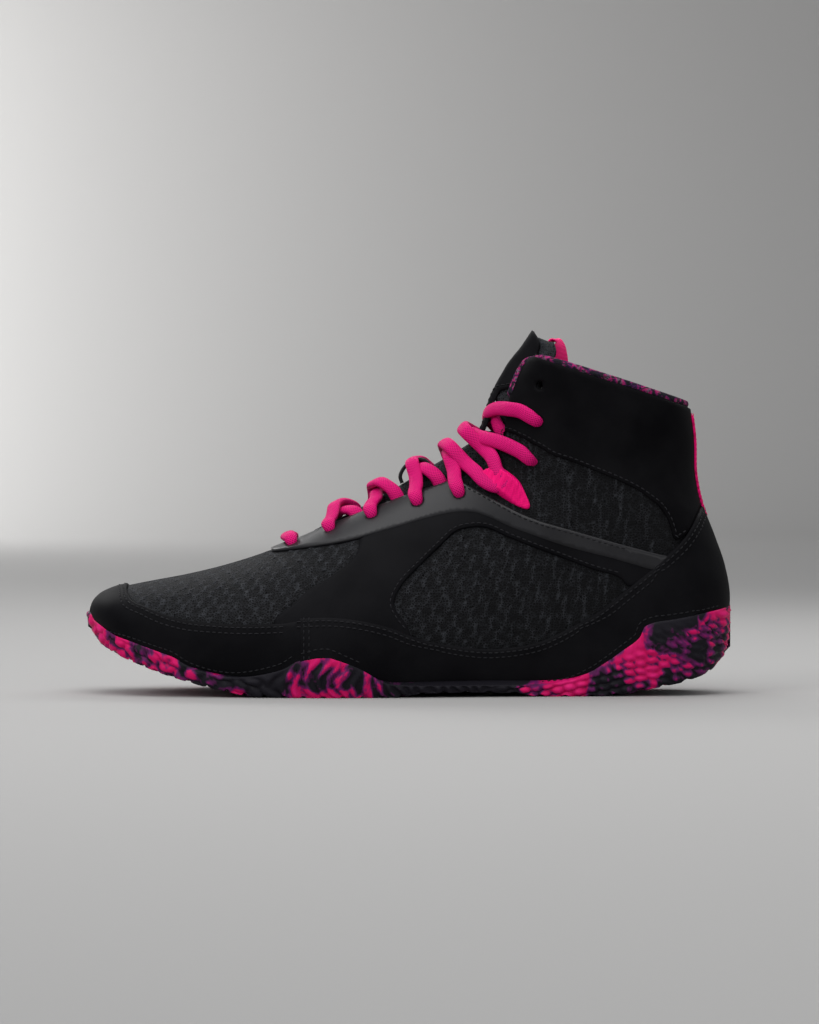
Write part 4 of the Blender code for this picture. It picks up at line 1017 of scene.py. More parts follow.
eyestay = ply(
    "eyestay_film", both(eyestay_loop), 0.05 * MM, GAP + EYESTAY_PLY, GLOSS, 1.5 * MM,
        0.5 * MM,
    holes=eyelet_holes(EYESTAY_EYELETS, EYELET_RADIUS),
)
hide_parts("eyestay")
cuff = ply(
    "cuff_cloth", both(cuff_loop), 0.05 * MM, GAP + CUFF_PLY, CLOTH, 1.8 * MM, 0.45 * MM,
    holes=eyelet_holes(CUFF_EYELETS, EYELET_RADIUS),
)
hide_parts("cuff")
tape_low = GAP + CUFF_PLY
tape = ply("heel_webbing", both(tape_loop), tape_low - 0.1 * MM, tape_low + GAP + TAPE_PLY, WEB,
    1.2 * MM, 0.35 * MM)
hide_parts("heel_tape")


# Seams: rows of single stitches pulled into the ply

def stitches(name, lines, pitch=2.7, length=1.9, width=0.62, high=0.36, paint=None):
    """Threads laid along lines of (side, path, offset of the ply), all sizes in mm but the offset."""
    points, faces = [], []
    shares = np.array([-1.0, -0.72, 0.0, 0.72, 1.0])
    arch = np.array([-0.75, 0.35, 1.0, 0.35, -0.75])
    for side, path, offset in lines:
        path = even(path, side, pitch * MM)
        p = on_last(path[:, 0], side, path[:, 1], offset)
        normal = facing(path[:, 0], side, path[:, 1])
        ahead = unit(np.gradient(p, axis=0))
        across = unit(np.cross(normal, ahead))
        for spot, n, a, c in zip(p, normal, ahead, across):
            start = len(points)
            for share, lift in zip(shares, arch):
                middle = spot + a * share * length * MM / 2 + n * high * MM * lift * 0.6
                thick = (1 - 0.45 * share * share) * width * MM / 2
                for k in range(6):
                    angle = k * math.pi / 3
                    points.append(middle + c * math.cos(angle) * thick + n * math.sin(angle) * thick * 0.8)
            for j in range(4):
                for k in range(6):
                    one, two = start + j * 6 + k, start + j * 6 + (k + 1) % 6
                    faces.append((one, two, two + 6, one + 6))
            faces.append(tuple(start + k for k in range(5, -1, -1)))
            faces.append(tuple(start + 24 + k for k in range(6)))
    points = np.array(points)
    return make(name, points, faces, paint or THREAD, points[:, [0, 2]], weld=0)


def offset_line(shares, side, distance, low=-1.0, high=2.0, lift=0.0):
    path = line(part_of(shares, low, high), side, lift)
    return shift(path, side, distance * MM * -side)


guard_face, wrap_face = GAP + GUARD_PLY, GAP + GUARD_PLY + 0.25 * MM
saddle_face, stay_face, cuff_face = GAP + SADDLE_PLY, GAP + EYESTAY_PLY, GAP + CUFF_PLY
seams = {"guard": [], "wrap": [], "saddle": [], "eyestay": [], "cuff": []}
for side in (OUTER, INNER):
    top = [p for p in GUARD_TOP if p[0] >= 0.06 and p[1] < 0.44]
    for inset in (1.7, 4.2):
        seams["guard"].append((side, offset_line(top[:-2], side, -inset), guard_face))
    seams["guard"].append((side, offset_line(SOLE_TOP, side, 2.6, 0.0, 0.331), guard_face))
    for inset in (1.7, 4.0):
        seams["wrap"].append((side, offset_line(WRAP_TOP, side, -inset, 0.33, 0.956), wrap_face))
        seams["wrap"].append((side,
            shift(line([(0.333, 0.165), (0.333, 0.315)], side), side, inset * MM * side), wrap_face))
    seams["wrap"].append((side, offset_line(SOLE_TOP, side, 2.4, 0.336, 0.43), wrap_face))
    seams["wrap"].append((side, offset_line(SOLE_TOP, side, 2.4, 0.70, 0.975), wrap_face))
    seams["saddle"].append((side, shift(line(WINDOW_EDGE[1:], side), side, 1.6 * MM * side), saddle_face))
    front = [(0.304, 0.345), (0.321, 0.377), (0.341, 0.430), (0.378, 0.489), (0.409, 0.551), (0.422, 0.590)]
    seams["saddle"].append((side, shift(line(front, side), side, -1.5 * MM * side), saddle_face))
    seams["eyestay"].append((side, offset_line(EYESTAY_TOP[1:], side, 1.5), stay_face))
    seams["cuff"].append((side, offset_line(CUFF_LOW[1:-2], side, 1.6), cuff_face))
for word, lines_of in seams.items():
    stitches(f"{word}_stitches", lines_of)
tape_lines = []
for side in (OUTER, INNER):
    loop = tape_loop(side)
    edge = loop[12:52]
    tape_lines.append((side, shift(edge, side, 1.1 * MM * side), tape_low + GAP + TAPE_PLY))
stitches("heel_webbing_stitches", tape_lines, 2.2, 1.5, 0.5, 0.3, WEB)


# Tongue, in the space of its solids

def over_ridge(r, across, offset):
    """Points of the ridge region at distances across from the middle, and their outward directions."""
    r, across = np.broadcast_arrays(np.asarray(r, float), np.asarray(across, float))
    side = np.where(across < 0, OUTER, INNER)
    turn = turn_out(r, side, np.abs(across))
    normal = facing(r, side, turn)
    return place(r, side, turn) + normal * np.asarray(offset)[..., None], normal


def tongue_top(r, across, dent=0.0):
    r, across = np.asarray(r, float), np.asarray(across, float)
    row = rows(np.minimum(r, CORNER_ROW))
    free = np.maximum(row.gap, 7 * MM) + np.maximum(r - CORNER_ROW, 0) * 4 * MM / 3
    bulge = rows(r).bulge
    tucked = -(WALL + TUCK_GAP) + 2 * MM * ease((r - COLLAR_ROW) / 1.5) * (r > COLLAR_ROW + 0.2)
    middle = tucked + (bulge - tucked) * ease((r - THROAT_ROW) / 0.8)
    middle = middle - dent * ease((r - 15.1) / 0.8) * (1 - ease((r - 17.4) / 0.8))
    return tucked + (middle - tucked) * ease((free - 1.2 * MM - np.abs(across)) / (0.75 * free))


def tongue_ply(r):
    return TONGUE_PLY + (TONGUE_PAD - TONGUE_PLY) * ease((np.asarray(r, float) - 16) / 5)


def panel_half(r):
    strap = STRAP_WIDTH / 2
    between = rows(np.minimum(r, CORNER_ROW)).gap - 2.2 * MM
    half = strap + (between - strap) * ease((r - 18.7) / 1.6)
    return half + (TONGUE_PANEL_WIDTH / 2 - half) * ease((r - 22.8) / 1.5)


def tube_mesh(rings, closed_ends=True):
    count = len(rings[0])
    points = np.vstack(rings)
    faces = []
    for j in range(len(rings) - 1):
        for i in range(count):
            a, b = j * count + i, j * count + (i + 1) % count
            faces.append((a, b, b + count, a + count))
    if closed_ends:
        faces += [tuple(range(count)), tuple(reversed(range(len(points) - count, len(points))))]
    return points, faces


def along_rings(rings):
    """A map in metres: run along the rings, and round them."""
    rings = np.array(rings)
    run = np.concatenate([[0], np.cumsum(np.linalg.norm(np.diff(rings.mean(axis=1), axis=0), axis=1))])
    around = np.cumsum(np.linalg.norm(np.diff(rings, axis=1, prepend=rings[:, :1]), axis=2), axis=1)
    return np.stack([np.repeat(run[:, None], rings.shape[1], axis=1), around], axis=-1).reshape(-1, 2)


rings = []
TONGUE_TIP = TONGUE_ROW + 0.20
tongue_rows = np.concatenate([np.linspace(7.0, 8.4, 8), np.linspace(8.6, 24.3, 80),
    np.linspace(24.4, TONGUE_TIP, 7)])
for r in tongue_rows:
    reach = float(max(rows(min(r, CORNER_ROW)).gap, 7 * MM) + TONGUE_TUCK)
    reach += 5 * MM * float(ease((r - 20.5) / 1.5))
    if r < 8.5:
        reach = 15 * MM
    end = max(0.0, (r - 24.3) / (TONGUE_TIP - 24.3))
    reach *= 1 - 0.22 * end**2.2
    share = np.sin(np.linspace(-1, 1, 41) * math.pi / 2)
    across = share * reach
    height = tongue_top(r, across, LACE_SLOT) if r > THROAT_ROW else np.full(41, -(WALL + TUCK_GAP))
    under = np.minimum(tongue_top(r, 0.0) - tongue_ply(r), height - TONGUE_EDGE)
    middle, thick = (height + under) / 2, (height - under) / 2
    thick = thick * (1 - np.abs(share) ** 6 * 0.9) * (1 - 0.62 * end**3)
    quilt = 0.35 * MM * np.cos(np.clip((r - 9) * 2.2, 0, 80)) * ease((r - 9) / 2) * (r > 15)
    top = over_ridge(r, across, middle + thick + quilt * (1 - share**2))[0]
    low = over_ridge(r, across, middle - thick)[0]
    rings.append(np.vstack([top, low[::-1]]))
points, faces = tube_mesh(rings)
tongue = make("tongue_padding", points, faces, TEXTILE, along_rings(rings))
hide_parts("tongue")
attribute = tongue.data.attributes.new("cell", "FLOAT", "POINT")

rings = []
for r in np.concatenate([np.linspace(15.05, 24.6, 58), np.linspace(24.68, PANEL_ROW, 12)]):
    share = np.linspace(-1, 1, 25)
    end = max(0.0, (r - 24.0) / (PANEL_ROW - 24.0))
    strap_waist = 1 - 0.30 * float(ease((r - 23.2) / 1.2))
    strap_tip = math.sqrt(max(0.03, 1 - max(0.0, (r - 24.5) / (PANEL_ROW - 24.5)) ** 2))
    half = float(panel_half(r)) * strap_waist * strap_tip
    across = share * half
    height = tongue_top(r, across) + GAP + 0.15 * MM
    edge = (1 - np.abs(share) ** 8) ** 0.5
    dip = 0.22 * MM * np.exp(-(((1 - np.abs(share)) * half - 2.0 * MM) / (0.5 * MM)) ** 2)
    top = over_ridge(r, across, height + TONGUE_PANEL_PLY * (0.35 + 0.65 * edge) - dip)[0]
    low = over_ridge(r, across, height)[0]
    rings.append(np.vstack([top, low[::-1]]))
points, faces = tube_mesh(rings)
panel = make("tongue_panel_film", points, faces, FILM, along_rings(rings))
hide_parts("tongue_panel")


def ridge_stitches(name, tracks, pitch=2.6, length=1.8, width=0.55):
    """Stitches along tracks of (rows, distances across, heights) over the tongue."""
    points, faces = [], []
    for r, across, height in tracks:
        spot, normal = over_ridge(r, across, height)
        run = np.concatenate([[0], np.cumsum(np.linalg.norm(np.diff(spot, axis=0), axis=1))])
        want = np.arange(pitch * MM / 2, run[-1], pitch * MM)
        p = np.stack([np.interp(want, run, spot[:, k]) for k in range(3)], axis=1)
        n = unit(np.stack([np.interp(want, run, normal[:, k]) for k in range(3)], axis=1))
        ahead = unit(np.gradient(p, axis=0))
        for one, up, a in zip(p, n, ahead):
            start, c = len(points), np.cross(up, a)
            for share, lift in ((-1, -0.5), (-0.7, 0.3), (0, 0.7), (0.7, 0.3), (1, -0.5)):
                middle = one + a * share * length * MM / 2 + up * 0.3 * MM * lift
                thick = (1 - 0.45 * share * share) * width * MM / 2
                points += [middle + (c * math.cos(k * math.pi / 3) + up * math.sin(k * math.pi / 3)) * thick
                    for k in range(6)]
            faces += [
                (start + j * 6 + k, start + j * 6 + (k + 1) % 6, start + j * 6 + 6 + (k + 1) % 6,
                    start + j * 6 + 6 + k)
                for j in range(4) for k in range(6)
            ]
            faces += [tuple(start + k for k in range(5, -1, -1)), tuple(start + 24 + k for k in range(6))]
    points = np.array(points)
    return make(name, points, faces, THREAD, points[:, [1, 2]], weld=0)


tracks = []
for sign in (-1, 1):
    r = np.linspace(15.3, 24.1, 84)
    half = np.array([float(panel_half(v)) for v in r])
    across = sign * (half - 2.0 * MM)
    tracks.append((r, across, tongue_top(r, across) + GAP + 0.15 * MM + TONGUE_PANEL_PLY - 0.05 * MM))
ridge_stitches("tongue_panel_stitches", tracks)


# Laces, threaded through the eyelets

def lace_ring(point, ahead, up, width, thick, count=18):
    across = np.cross(ahead, up)
    across /= max(np.linalg.norm(across), 1e-9)
    up = np.cross(across, ahead)
    up /= max(np.linalg.norm(up), 1e-9)
    angles = 2 * math.pi * np.arange(count) / count
    c, s = np.cos(angles), np.sin(angles)
    c, s = np.sign(c) * np.abs(c) ** 0.85, np.sign(s) * np.abs(s) ** 0.9
    return point + np.outer(c, across) * width / 2 + np.outer(s, up) * thick / 2


def lace(name, knots, step=1.1 * MM):
    """A flat oval braid through knots of (row, across, offset, width share, spin in degrees)."""
    knots = np.array(knots, float)
    spots, normals = over_ridge(knots[:, 0], knots[:, 1], knots[:, 2])
    run = np.concatenate([[0], np.cumsum(np.linalg.norm(np.diff(spots, axis=0), axis=1))])
    slopes = np.zeros_like(spots)
    slopes[1:-1] = [
        ((spots[i] - spots[i - 1]) / (run[i] - run[i - 1]) * (run[i + 1] - run[i])
         + (spots[i + 1] - spots[i]) / (run[i + 1] - run[i]) * (run[i] - run[i - 1]))
             / (run[i + 1] - run[i - 1])
        for i in range(1, len(spots) - 1)
    ]
    slopes[0], slopes[-1] = (spots[1] - spots[0]) / run[1], (spots[-1] - spots[-2]) / (run[-1] - run[-2])
    path, ups, widths = [], [], []
    for i in range(len(spots) - 1):
        h = run[i + 1] - run[i]
        count = max(2, int(h / step))
        t = np.linspace(0, 1, count, endpoint=i == len(spots) - 2)[:, None]
        path.append(
            spots[i] * (2 * t**3 - 3 * t**2 + 1) + slopes[i] * h * (t**3 - 2 * t**2 + t)
            + spots[i + 1] * (3 * t**2 - 2 * t**3) + slopes[i + 1] * h * (t**3 - t**2)
        )
        e = ease(t)
        spin = np.radians(knots[i, 4] + (knots[i + 1, 4] - knots[i, 4]) * e)
        ups.append(np.hstack([normals[i] + (normals[i + 1] - normals[i]) * e, spin]))
        widths.append(knots[i, 3] + (knots[i + 1, 3] - knots[i, 3]) * e)
    path, ups, widths = np.vstack(path), np.vstack(ups), np.vstack(widths)[:, 0]
    ahead = unit(np.gradient(path, axis=0))
    rings = []
    for p, a, u, w in zip(path, ahead, ups, widths):
        up, spin = u[:3] - a * np.dot(u[:3], a), u[3]
        up = up / max(np.linalg.norm(up), 1e-6)
        up = up * math.cos(spin) + np.cross(a, up) * math.sin(spin)
        thick = LACE_PLY * (1 if w > 0.9 else 1 + 0.3 * (1 - w))
        rings.append(lace_ring(p, a, up, LACE_WIDTH * w, min(thick, LACE_WIDTH * w)))
    points, faces = tube_mesh(rings)
    return make(name, points, faces, LACE, along_rings(rings))


HALF = LACE_PLY / 2


def crossing(start, near, middle, end, far, side, lift=0.0, under_strap=False):
    """Knots over one side's edge, across the tongue, and over or under the far edge."""
    first, last = float(rows(start).gap) + near * MM, -(float(rows(end).gap) + far * MM)
    result = []
    for share in (0.0, 0.16, 0.33, 0.5, 0.67, 0.84, 1.0):
        across = first + (last - first) * share
        if across > 0:
            r = middle + (start - middle) * (across / first) ** 1.5
        else:
            r = middle + (end - middle) * (across / last) ** 1.2
        gap = float(rows(r).gap)
        tongue_face = max(
            float(tongue_top(r + dr, across + da, LACE_SLOT)) for dr in (-0.2, 0, 0.2)
                for da in (-2 * MM, 0, 2 * MM)
        ) + 0.5 * MM + HALF
        over_panel = r > 14.7 and abs(across) < float(panel_half(r)) + 3 * MM
        if not under_strap and end > 16 and start < 15 and over_panel:
            tongue_face += (TONGUE_PANEL_PLY + GAP + 0.4 * MM) * float(ease((r - 14.6) / 0.3))
        over_edge = GAP + EYESTAY_PLY + 0.15 * MM + HALF
        shows = (near if across > 0 else far) > 0
        edge = float(ease((abs(across) - (gap - 7 * MM)) / (6 * MM)))
        beyond = max(over_edge, tongue_face) if shows else tongue_face - 2.5 * MM * edge
        height = tongue_face + (beyond - tongue_face) * edge
        hump = 1 - float(ease((abs(across) - 3 * MM) / (8 * MM)))
        result.append((r, side * across, height + lift * hump, 1.0, 0))
    return result


def through(r, side, outwards):
    """Knots through an eyelet, from inside out, or from outside in."""
    a, face = side * eyelet(r), GAP + EYESTAY_PLY
    knots = [
        (r, a + side * 2.5 * MM, -WALL - 2.6 * MM, 0.75, 0),
        (r, a + side * 0.5 * MM, -WALL - 0.6 * MM, 0.62, 0),
        (r, a + side * 0.3 * MM, 0.5 * MM, 0.60, 0), (r, a + side * 0.1 * MM, face + 0.7 * MM, 0.84, 0),
        (r, a - side * 1.9 * MM, face + HALF + 0.4 * MM, 1.0, 0),
    ]
    return knots if outwards else knots[::-1]


def beside(x, z, side):
    """The row and distance across of a point of the side view."""
    r, turn = find(np.array([along(x)]), np.array([rise(z)]))
    return float(r[0]), float(place(r, side, turn)[0, 1] - rows(r).middle[0])


def laces(side, lift):
    """One end of the lace, from the middle of the bar to the top laced eyelet."""
    rest = GAP + EYESTAY_PLY + 0.3 * MM + HALF
    gap = float(rows(8.5).gap)
    knots = [(8.42, 0.0, rest, 1.0, 0), (8.44, side * gap * 0.55, rest, 1.0, 0),
        (8.48, side * (gap + 3.0 * MM), rest, 1.0, 0)]
    knots += through(8.5, side, False)
    here = side
    shows = {9.35: (9.60, 9.90), 10.3: (10.52, 10.85), 11.35: (11.55, 11.95)}
    knots += [(8.8, here * (float(rows(8.8).gap) + 8.5 * MM), -WALL - HALF - 1.4 * MM, 0.8, 0)]
    for low, high in ((9.35, 10.3), (10.3, 11.35), (11.35, 12.5)):
        middle, end = shows[low]
        knots += through(low, here, True)
        knots += crossing(low, 3.2, middle, end, -4.4, here, lift)
        far = -here
        gap_end = float(rows(end).gap)
        knots += [(end + 0.12, far * (gap_end + 1.5 * MM), -WALL - HALF - 0.8 * MM, 1.0, 0)]
        knots += [((end + high) / 2 + 0.1, far * (gap_end + 6 * MM), -WALL - HALF - 1.6 * MM, 0.9, 0)]
        here = far
    knots += through(12.5, here, True)
    return knots, here


for side, word in ((OUTER, "one"), (INNER, "two")):
    lift = 0.0 if side == INNER else LACE_PLY + 0.2 * MM
    knots, here = laces(side, lift)
    knots += crossing(12.50, 3.2, 12.70, 13.35, 2.0, here, lift)
    # The turn inside the webbing loop, in at its front and out at its top
    far = -here
    for x, z, height, wide in ((0.6190, 0.868, 1.6, 0.95), (0.6400, 0.850, 0.9, 0.85),
        (0.6530, 0.868, 0.8, 0.8), (0.6400, 0.912, 1.4, 0.9)):
        r, across = beside(x, z, far)
        knots.append((r, across, height * MM + HALF * wide, wide, 0))
    knots += crossing(14.55, 1.5, 14.25, 16.25, 5.6, far, 1.2 * MM + lift)
    here = -far
    knots += through(16.4, here, False)
    knots += [(16.25, here * (eyelet(16.4) - 6 * MM), -WALL - HALF - 1.0 * MM, 0.9, 0)]
    knots += crossing(16.15, -4.4, 16.75, 18.75, 7.4, here, lift, under_strap=True)
    far = -here
    knots += through(18.85, far, False)
    made = lace(f"lace_{word}", knots)
    if side == OUTER:
        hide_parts("lace_bar", *(f"lace_cross_{number}" for number in range(1, 7)))


# Sole: lumps at the toe, ribs on the ball, scales at the heel, lugs underneath

LUG_COUNT, HEEL_LUG_RATIO = 30, 1.8
LUG_FIRST, LUG_LAST = 0.018, 0.968
WAIST_START, WAIST_END = 0.49, 0.69


def side_line(shares):
    points = smooth([(along(x), rise(z)) for x, z in shares], 1 * MM)
    order = np.argsort(points[:, 0], kind="stable")
    return points[order, 0], points[order, 1]


TOP_X, TOP_Z = side_line([(-0.03, 0.345)] + SOLE_TOP)
LOW_X, LOW_Z = side_line(SOLE_LOW)
STEPS_OF_LUGS = 1 + (HEEL_LUG_RATIO - 1) * np.arange(LUG_COUNT) / (LUG_COUNT - 1)
LUGS = along(LUG_FIRST + (LUG_LAST - LUG_FIRST) * np.concatenate([[0], np.cumsum(STEPS_OF_LUGS)])
    / STEPS_OF_LUGS.sum())


def groove(x, y):
    """1 in the grooves between lugs, 0 on their faces."""
    x = x + 1.6 * MM * np.sin(np.abs(y) * 330)
    i = np.clip(np.searchsorted(LUGS, x) - 1, 0, LUG_COUNT - 1)
    share = (x - LUGS[i]) / (LUGS[i + 1] - LUGS[i])
    across = np.minimum(1 - ease((share - 0.14) / 0.16), 1.0) + ease((share - 0.86) / 0.12)
    ends = (x > LUGS[0]) & (x < LUGS[-1])
    waist = ease((x - along(WAIST_START)) / (4 * MM)) * (1 - ease((x - along(WAIST_END)) / (4 * MM)))
    lane = np.abs(np.abs(y) - 17 * MM) / (1.1 * MM)
    length = np.maximum(across * ends * (1 - 0.45 * waist), (1 - ease((lane - 0.6) / 0.8)) * 0.8)
    fine = (
        0.22 * (0.5 + 0.5 * np.sin(x * 2 * math.pi / (2.2 * MM)))
        * (0.5 + 0.5 * np.sin(y * 2 * math.pi / (2.2 * MM)))
    )
    return np.minimum(1.0, length + fine * (1 - length) * 0.6)


def bumps(u, v, width, height, angle, sharp=0.8):
    """Rounded lumps in staggered rows, 0 between and 1 on top."""
    c, s = math.cos(math.radians(angle)), math.sin(math.radians(angle))
    u, v = u * c + v * s, -u * s + v * c
    row = np.floor(v / height)
    u = u / width + 0.5 * (row % 2)
    du, dv = (u % 1) * 2 - 1, (v / height % 1) * 2 - 1
    return np.maximum(0, 1 - np.abs(du) ** 2.6) ** sharp * np.maximum(0, 1 - np.abs(dv) ** 2.4) ** sharp


def side_relief(x, z, run):
    """Height of the moulded side pattern, -0.5 to 0.5, over the side view and the run round the sole."""
    wobble = 0.9 * MM * np.sin(x * 210 + z * 340) + 0.6 * MM * np.sin(x * 470 - z * 260)
    toe = bumps(run + wobble, z + wobble, 8.2 * MM, 5.4 * MM, -32)
    flame = 0.5 + 0.5 * np.sin((run + 2.6 * MM * np.sin(z / (3.6 * MM)) + wobble) * 2 * math.pi / (5.2 * MM))
    scale = bumps(run + 0.4 * wobble, z + 0.3 * wobble, 6.0 * MM, 3.0 * MM, 12)
    share = x / LENGTH + 0.5
    to_flame = ease((share - 0.27) / 0.04)
    to_heel = ease((share - 0.60) / 0.06)
    value = toe * (1 - to_flame) + flame * to_flame * (1 - to_heel) + scale * to_heel
    return value - 0.5


def sole_point(r, side, turn, offset):
    row = rows(r)
    down = unit(np.stack([row.low_x - row.top_x, np.zeros_like(row.top_x), row.low_z - row.top_z], axis=-1))
    down = np.where((row.drop > 0)[..., None], down, np.array([0, 0, -1.0]))
    base = place(r, side, turn)
    point = base + facing(r, side, np.minimum(turn, math.pi)) * np.asarray(offset)[..., None]
    return point + down * (row.drop * ease((turn / math.pi - 0.5) / 0.42))[..., None]


def sole_row(r, side, walls, floors, run_of):
    """One side of a section: from its top edge down the wall and across to the middle."""
    fine = np.linspace(0.25 * math.pi, math.pi, 240)
    full = np.full(fine.shape, r)
    p = sole_point(full, side, fine, np.full(fine.shape, GAP + SOLE_WALL))
    over_top = p[:, 2] - np.interp(p[:, 0], TOP_X, TOP_Z)
    over_low = p[:, 2] - np.interp(p[:, 0], LOW_X, LOW_Z)
    below = np.nonzero(over_top < 0)[0]
    if len(below) == 0:
        return None
    k = below[0]
    top = fine[k] if k == 0 else np.interp(0, [over_top[k], over_top[k - 1]], [fine[k], fine[k - 1]])
    under = np.nonzero(over_low < 0)[0]
    if len(under):
        k = under[0]
        corner = fine[k] if k == 0 else np.interp(0, [over_low[k], over_low[k - 1]], [fine[k], fine[k - 1]])
    else:
        corner = math.pi
    corner = max(corner, top + 1e-3)
    end = math.pi + (1.0 if rows(r).seat > 0 else 0.0)
    wall = top + (corner - top) * np.linspace(0, 1, walls)
    ground = corner + (end - corner) * np.linspace(0, 1, floors + 1)[1:]
    turns = np.concatenate([wall, ground])
    full = np.full(turns.shape, r)
    plain = sole_point(full, side, turns, np.full(turns.shape, GAP + SOLE_WALL))
    steps = np.arange(walls)
    fade = np.concatenate([ease((steps - 0.5) / 6) * ease((walls - 1 - steps) / 3), np.zeros(floors)])
    lip = np.concatenate([np.exp(-np.arange(walls) / 1.3), np.zeros(floors)])
    relief = side_relief(plain[:, 0], plain[:, 2], run_of) * fade * 1.9 * MM - lip * 0.45 * MM
    outer = sole_point(full, side, turns, GAP + SOLE_WALL + relief)
    low = np.interp(outer[:, 0], LOW_X, LOW_Z)
    tread = LUG_DEPTH * groove(outer[:, 0], outer[:, 1] - rows(r).middle)
    outer[:, 2] = np.maximum(outer[:, 2], low + tread)
    outer[walls:, 2] = low[walls:] + tread[walls:]
    inside_turns = np.concatenate([np.linspace(top, min(corner, math.pi), walls), np.full(floors, 0.0)])
    wall_end = min(corner, math.pi)
    inside_turns[walls:] = wall_end + (end - wall_end) * np.linspace(0, 1, floors + 1)[1:]
    inner = place(full, side, inside_turns) + facing(full, side,
        np.minimum(inside_turns, math.pi)) * GAP * 0.5
    inner[:, 2] = np.maximum(inner[:, 2], outer[:, 2] + 0.6 * MM)
    inner[0] = inner[0] * 0.4 + outer[0] * 0.6
    inner[0, 2] = outer[0, 2] - 0.1 * MM
    # The relief's height, kept for the rubber's painted shade in its hollows.
    shade = np.concatenate([relief[:walls] / (1.9 * MM), np.zeros(floors)])
    return outer, inner, shade


def sole_mesh():
    fine = np.linspace(0.0, 18.4, 1841)
    travel = np.maximum(
        np.linalg.norm(np.diff(place(fine, OUTER, math.pi), axis=0), axis=1),
        np.linalg.norm(np.diff(place(fine, OUTER, 1.9), axis=0), axis=1),
    )
    run = np.concatenate([[0], np.cumsum(travel)])
    count = int(run[-1] / (0.95 * MM))
    at = np.interp(np.linspace(0, run[-1], count), run, fine)
    runs = np.interp(at, fine, run)
    rings, shades = [], []
    for r, run_of in zip(at, runs):
        sides = [sole_row(float(r), side, 26, 12, run_of) for side in (OUTER, INNER)]
        if sides[0] is None or sides[1] is None:
            continue
        (outer_a, inner_a, shade_a), (outer_b, inner_b, shade_b) = sides
        rings.append(np.vstack([outer_a, outer_b[-2::-1], inner_b, inner_a[-2::-1]]))
        shades.append(np.concatenate([shade_a, shade_b[-2::-1], np.zeros(len(inner_b) + len(inner_a) - 1)]))
    return *tube_mesh(rings), np.concatenate(shades)


points, faces, shades = sole_mesh()
sole = make("outsole_rubber", points, faces, RUBBER, points[:, [0, 2]], weld=0)
# The relief kept as an attribute, for painted shade in the rubber's hollows.
relief_shade_mark = sole.data.attributes.new("relief", "FLOAT", "POINT")
relief_shade_mark.data.foreach_set("value", shades.astype(np.float32))
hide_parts("outsole")


# Footbed

def footbed():
    row = rows(np.array([0.6, *range(2, 18)], float))
    bed_x, bed_z = row.low_x, row.low_z + WALL + GAP + INSOLE_PLY
    xs = np.concatenate([np.linspace(-139.6, -134, 9), np.linspace(-132.5, 130, 150),
        np.linspace(131, 136.6, 9)]) * MM
    rings = []
    for x in xs:
        z = float(np.interp(x, bed_x, bed_z))
        r, turn = find(np.array([x]), np.array([z]))
        ends = [on_last(r, side, turn, -(WALL + 0.1 * MM))[0] for side in (OUTER, INNER)]
        share = np.sin(np.linspace(-1, 1, 31) * math.pi / 2)
        y = (ends[0][1] + ends[1][1]) / 2 + share * (ends[1][1] - ends[0][1]) / 2
        cup = 1.3 * MM * np.abs(share) ** 5 - 1.0 * MM * (1 - share**2) * float(ease((x - 0.05) / 0.04))
        top = np.stack([np.full(31, x), y, z + cup], axis=1)
        low = np.stack([np.full(31, x), y, z + cup - 3.2 * MM * (1 - share**6 * 0.8)], axis=1)
        rings.append(np.vstack([top, low[::-1]]))
    return tube_mesh(rings)


points, faces = footbed()
bed = make("insole_footbed", points, faces, FOOTBED, points[:, :2])
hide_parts("insole")


# Binding round the collar and down the throat's upper edges, in the lining's knit

def edge_ring(r, side, turn, ahead, wide, high, rise_by, push):
    """A rounded section over the wall's edge: wide across the wall, high along it."""
    normal = facing(np.array([r]), side, np.array([turn]))[0]
    spot = place(np.array([r]), side, np.array([turn]))[0] - normal * (WALL / 2 - push)
    outwards = unit(np.cross(normal, ahead))
    angles = 2 * math.pi * np.arange(16) / 16
    c, s = np.cos(angles), np.sin(angles)
    c, s = np.sign(c) * np.abs(c) ** 0.8, np.sign(s) * np.abs(s) ** 0.8
    return spot + outwards * rise_by + np.outer(c, normal) * wide / 2 + np.outer(s, outwards) * high / 2


def binding():
    path = []
    for side in (OUTER, INNER):
        half = [(r, side, t) for r, t in run_at(18.8, COLLAR_ROW, None, side, 60)]
        start = float(throat(COLLAR_ROW, side))
        half += [(COLLAR_ROW, side, t) for t in np.linspace(start, math.pi, 90)[1:]]
        path += half if side == OUTER else half[-2::-1]
    spots = np.array([place(np.array([r]), side, np.array([t]))[0] for r, side, t in path])
    run = np.concatenate([[0], np.cumsum(np.linalg.norm(np.diff(spots, axis=0), axis=1))])
    keep = [0]
    for i in range(1, len(path)):
        if run[i] - run[keep[-1]] > 0.35 * MM:
            keep.append(i)
    path, spots = [path[i] for i in keep], spots[keep]
    ahead = unit(np.gradient(spots, axis=0))
    rings = []
    for i, ((r, side, t), a) in enumerate(zip(path, ahead)):
        ends = min(1.0, (min(i, len(path) - 1 - i) + 0.6) / 6)
        front = float(ease((COLLAR_ROW - r) / 1.2))
        rings.append(edge_ring(
            r, side, t, a, (3.2 + 1.0 * front) * MM * ends, (3.0 + 1.0 * front) * MM * ends,
            (-0.3 + 0.7 * front) * MM, (WALL / 2 - 0.5 * MM) * front,
        ))
    return rings


rings = binding()
points, faces = tube_mesh(rings)
make("collar_binding", points, faces, KNIT, along_rings(rings))


# Lace keeper and pull tab

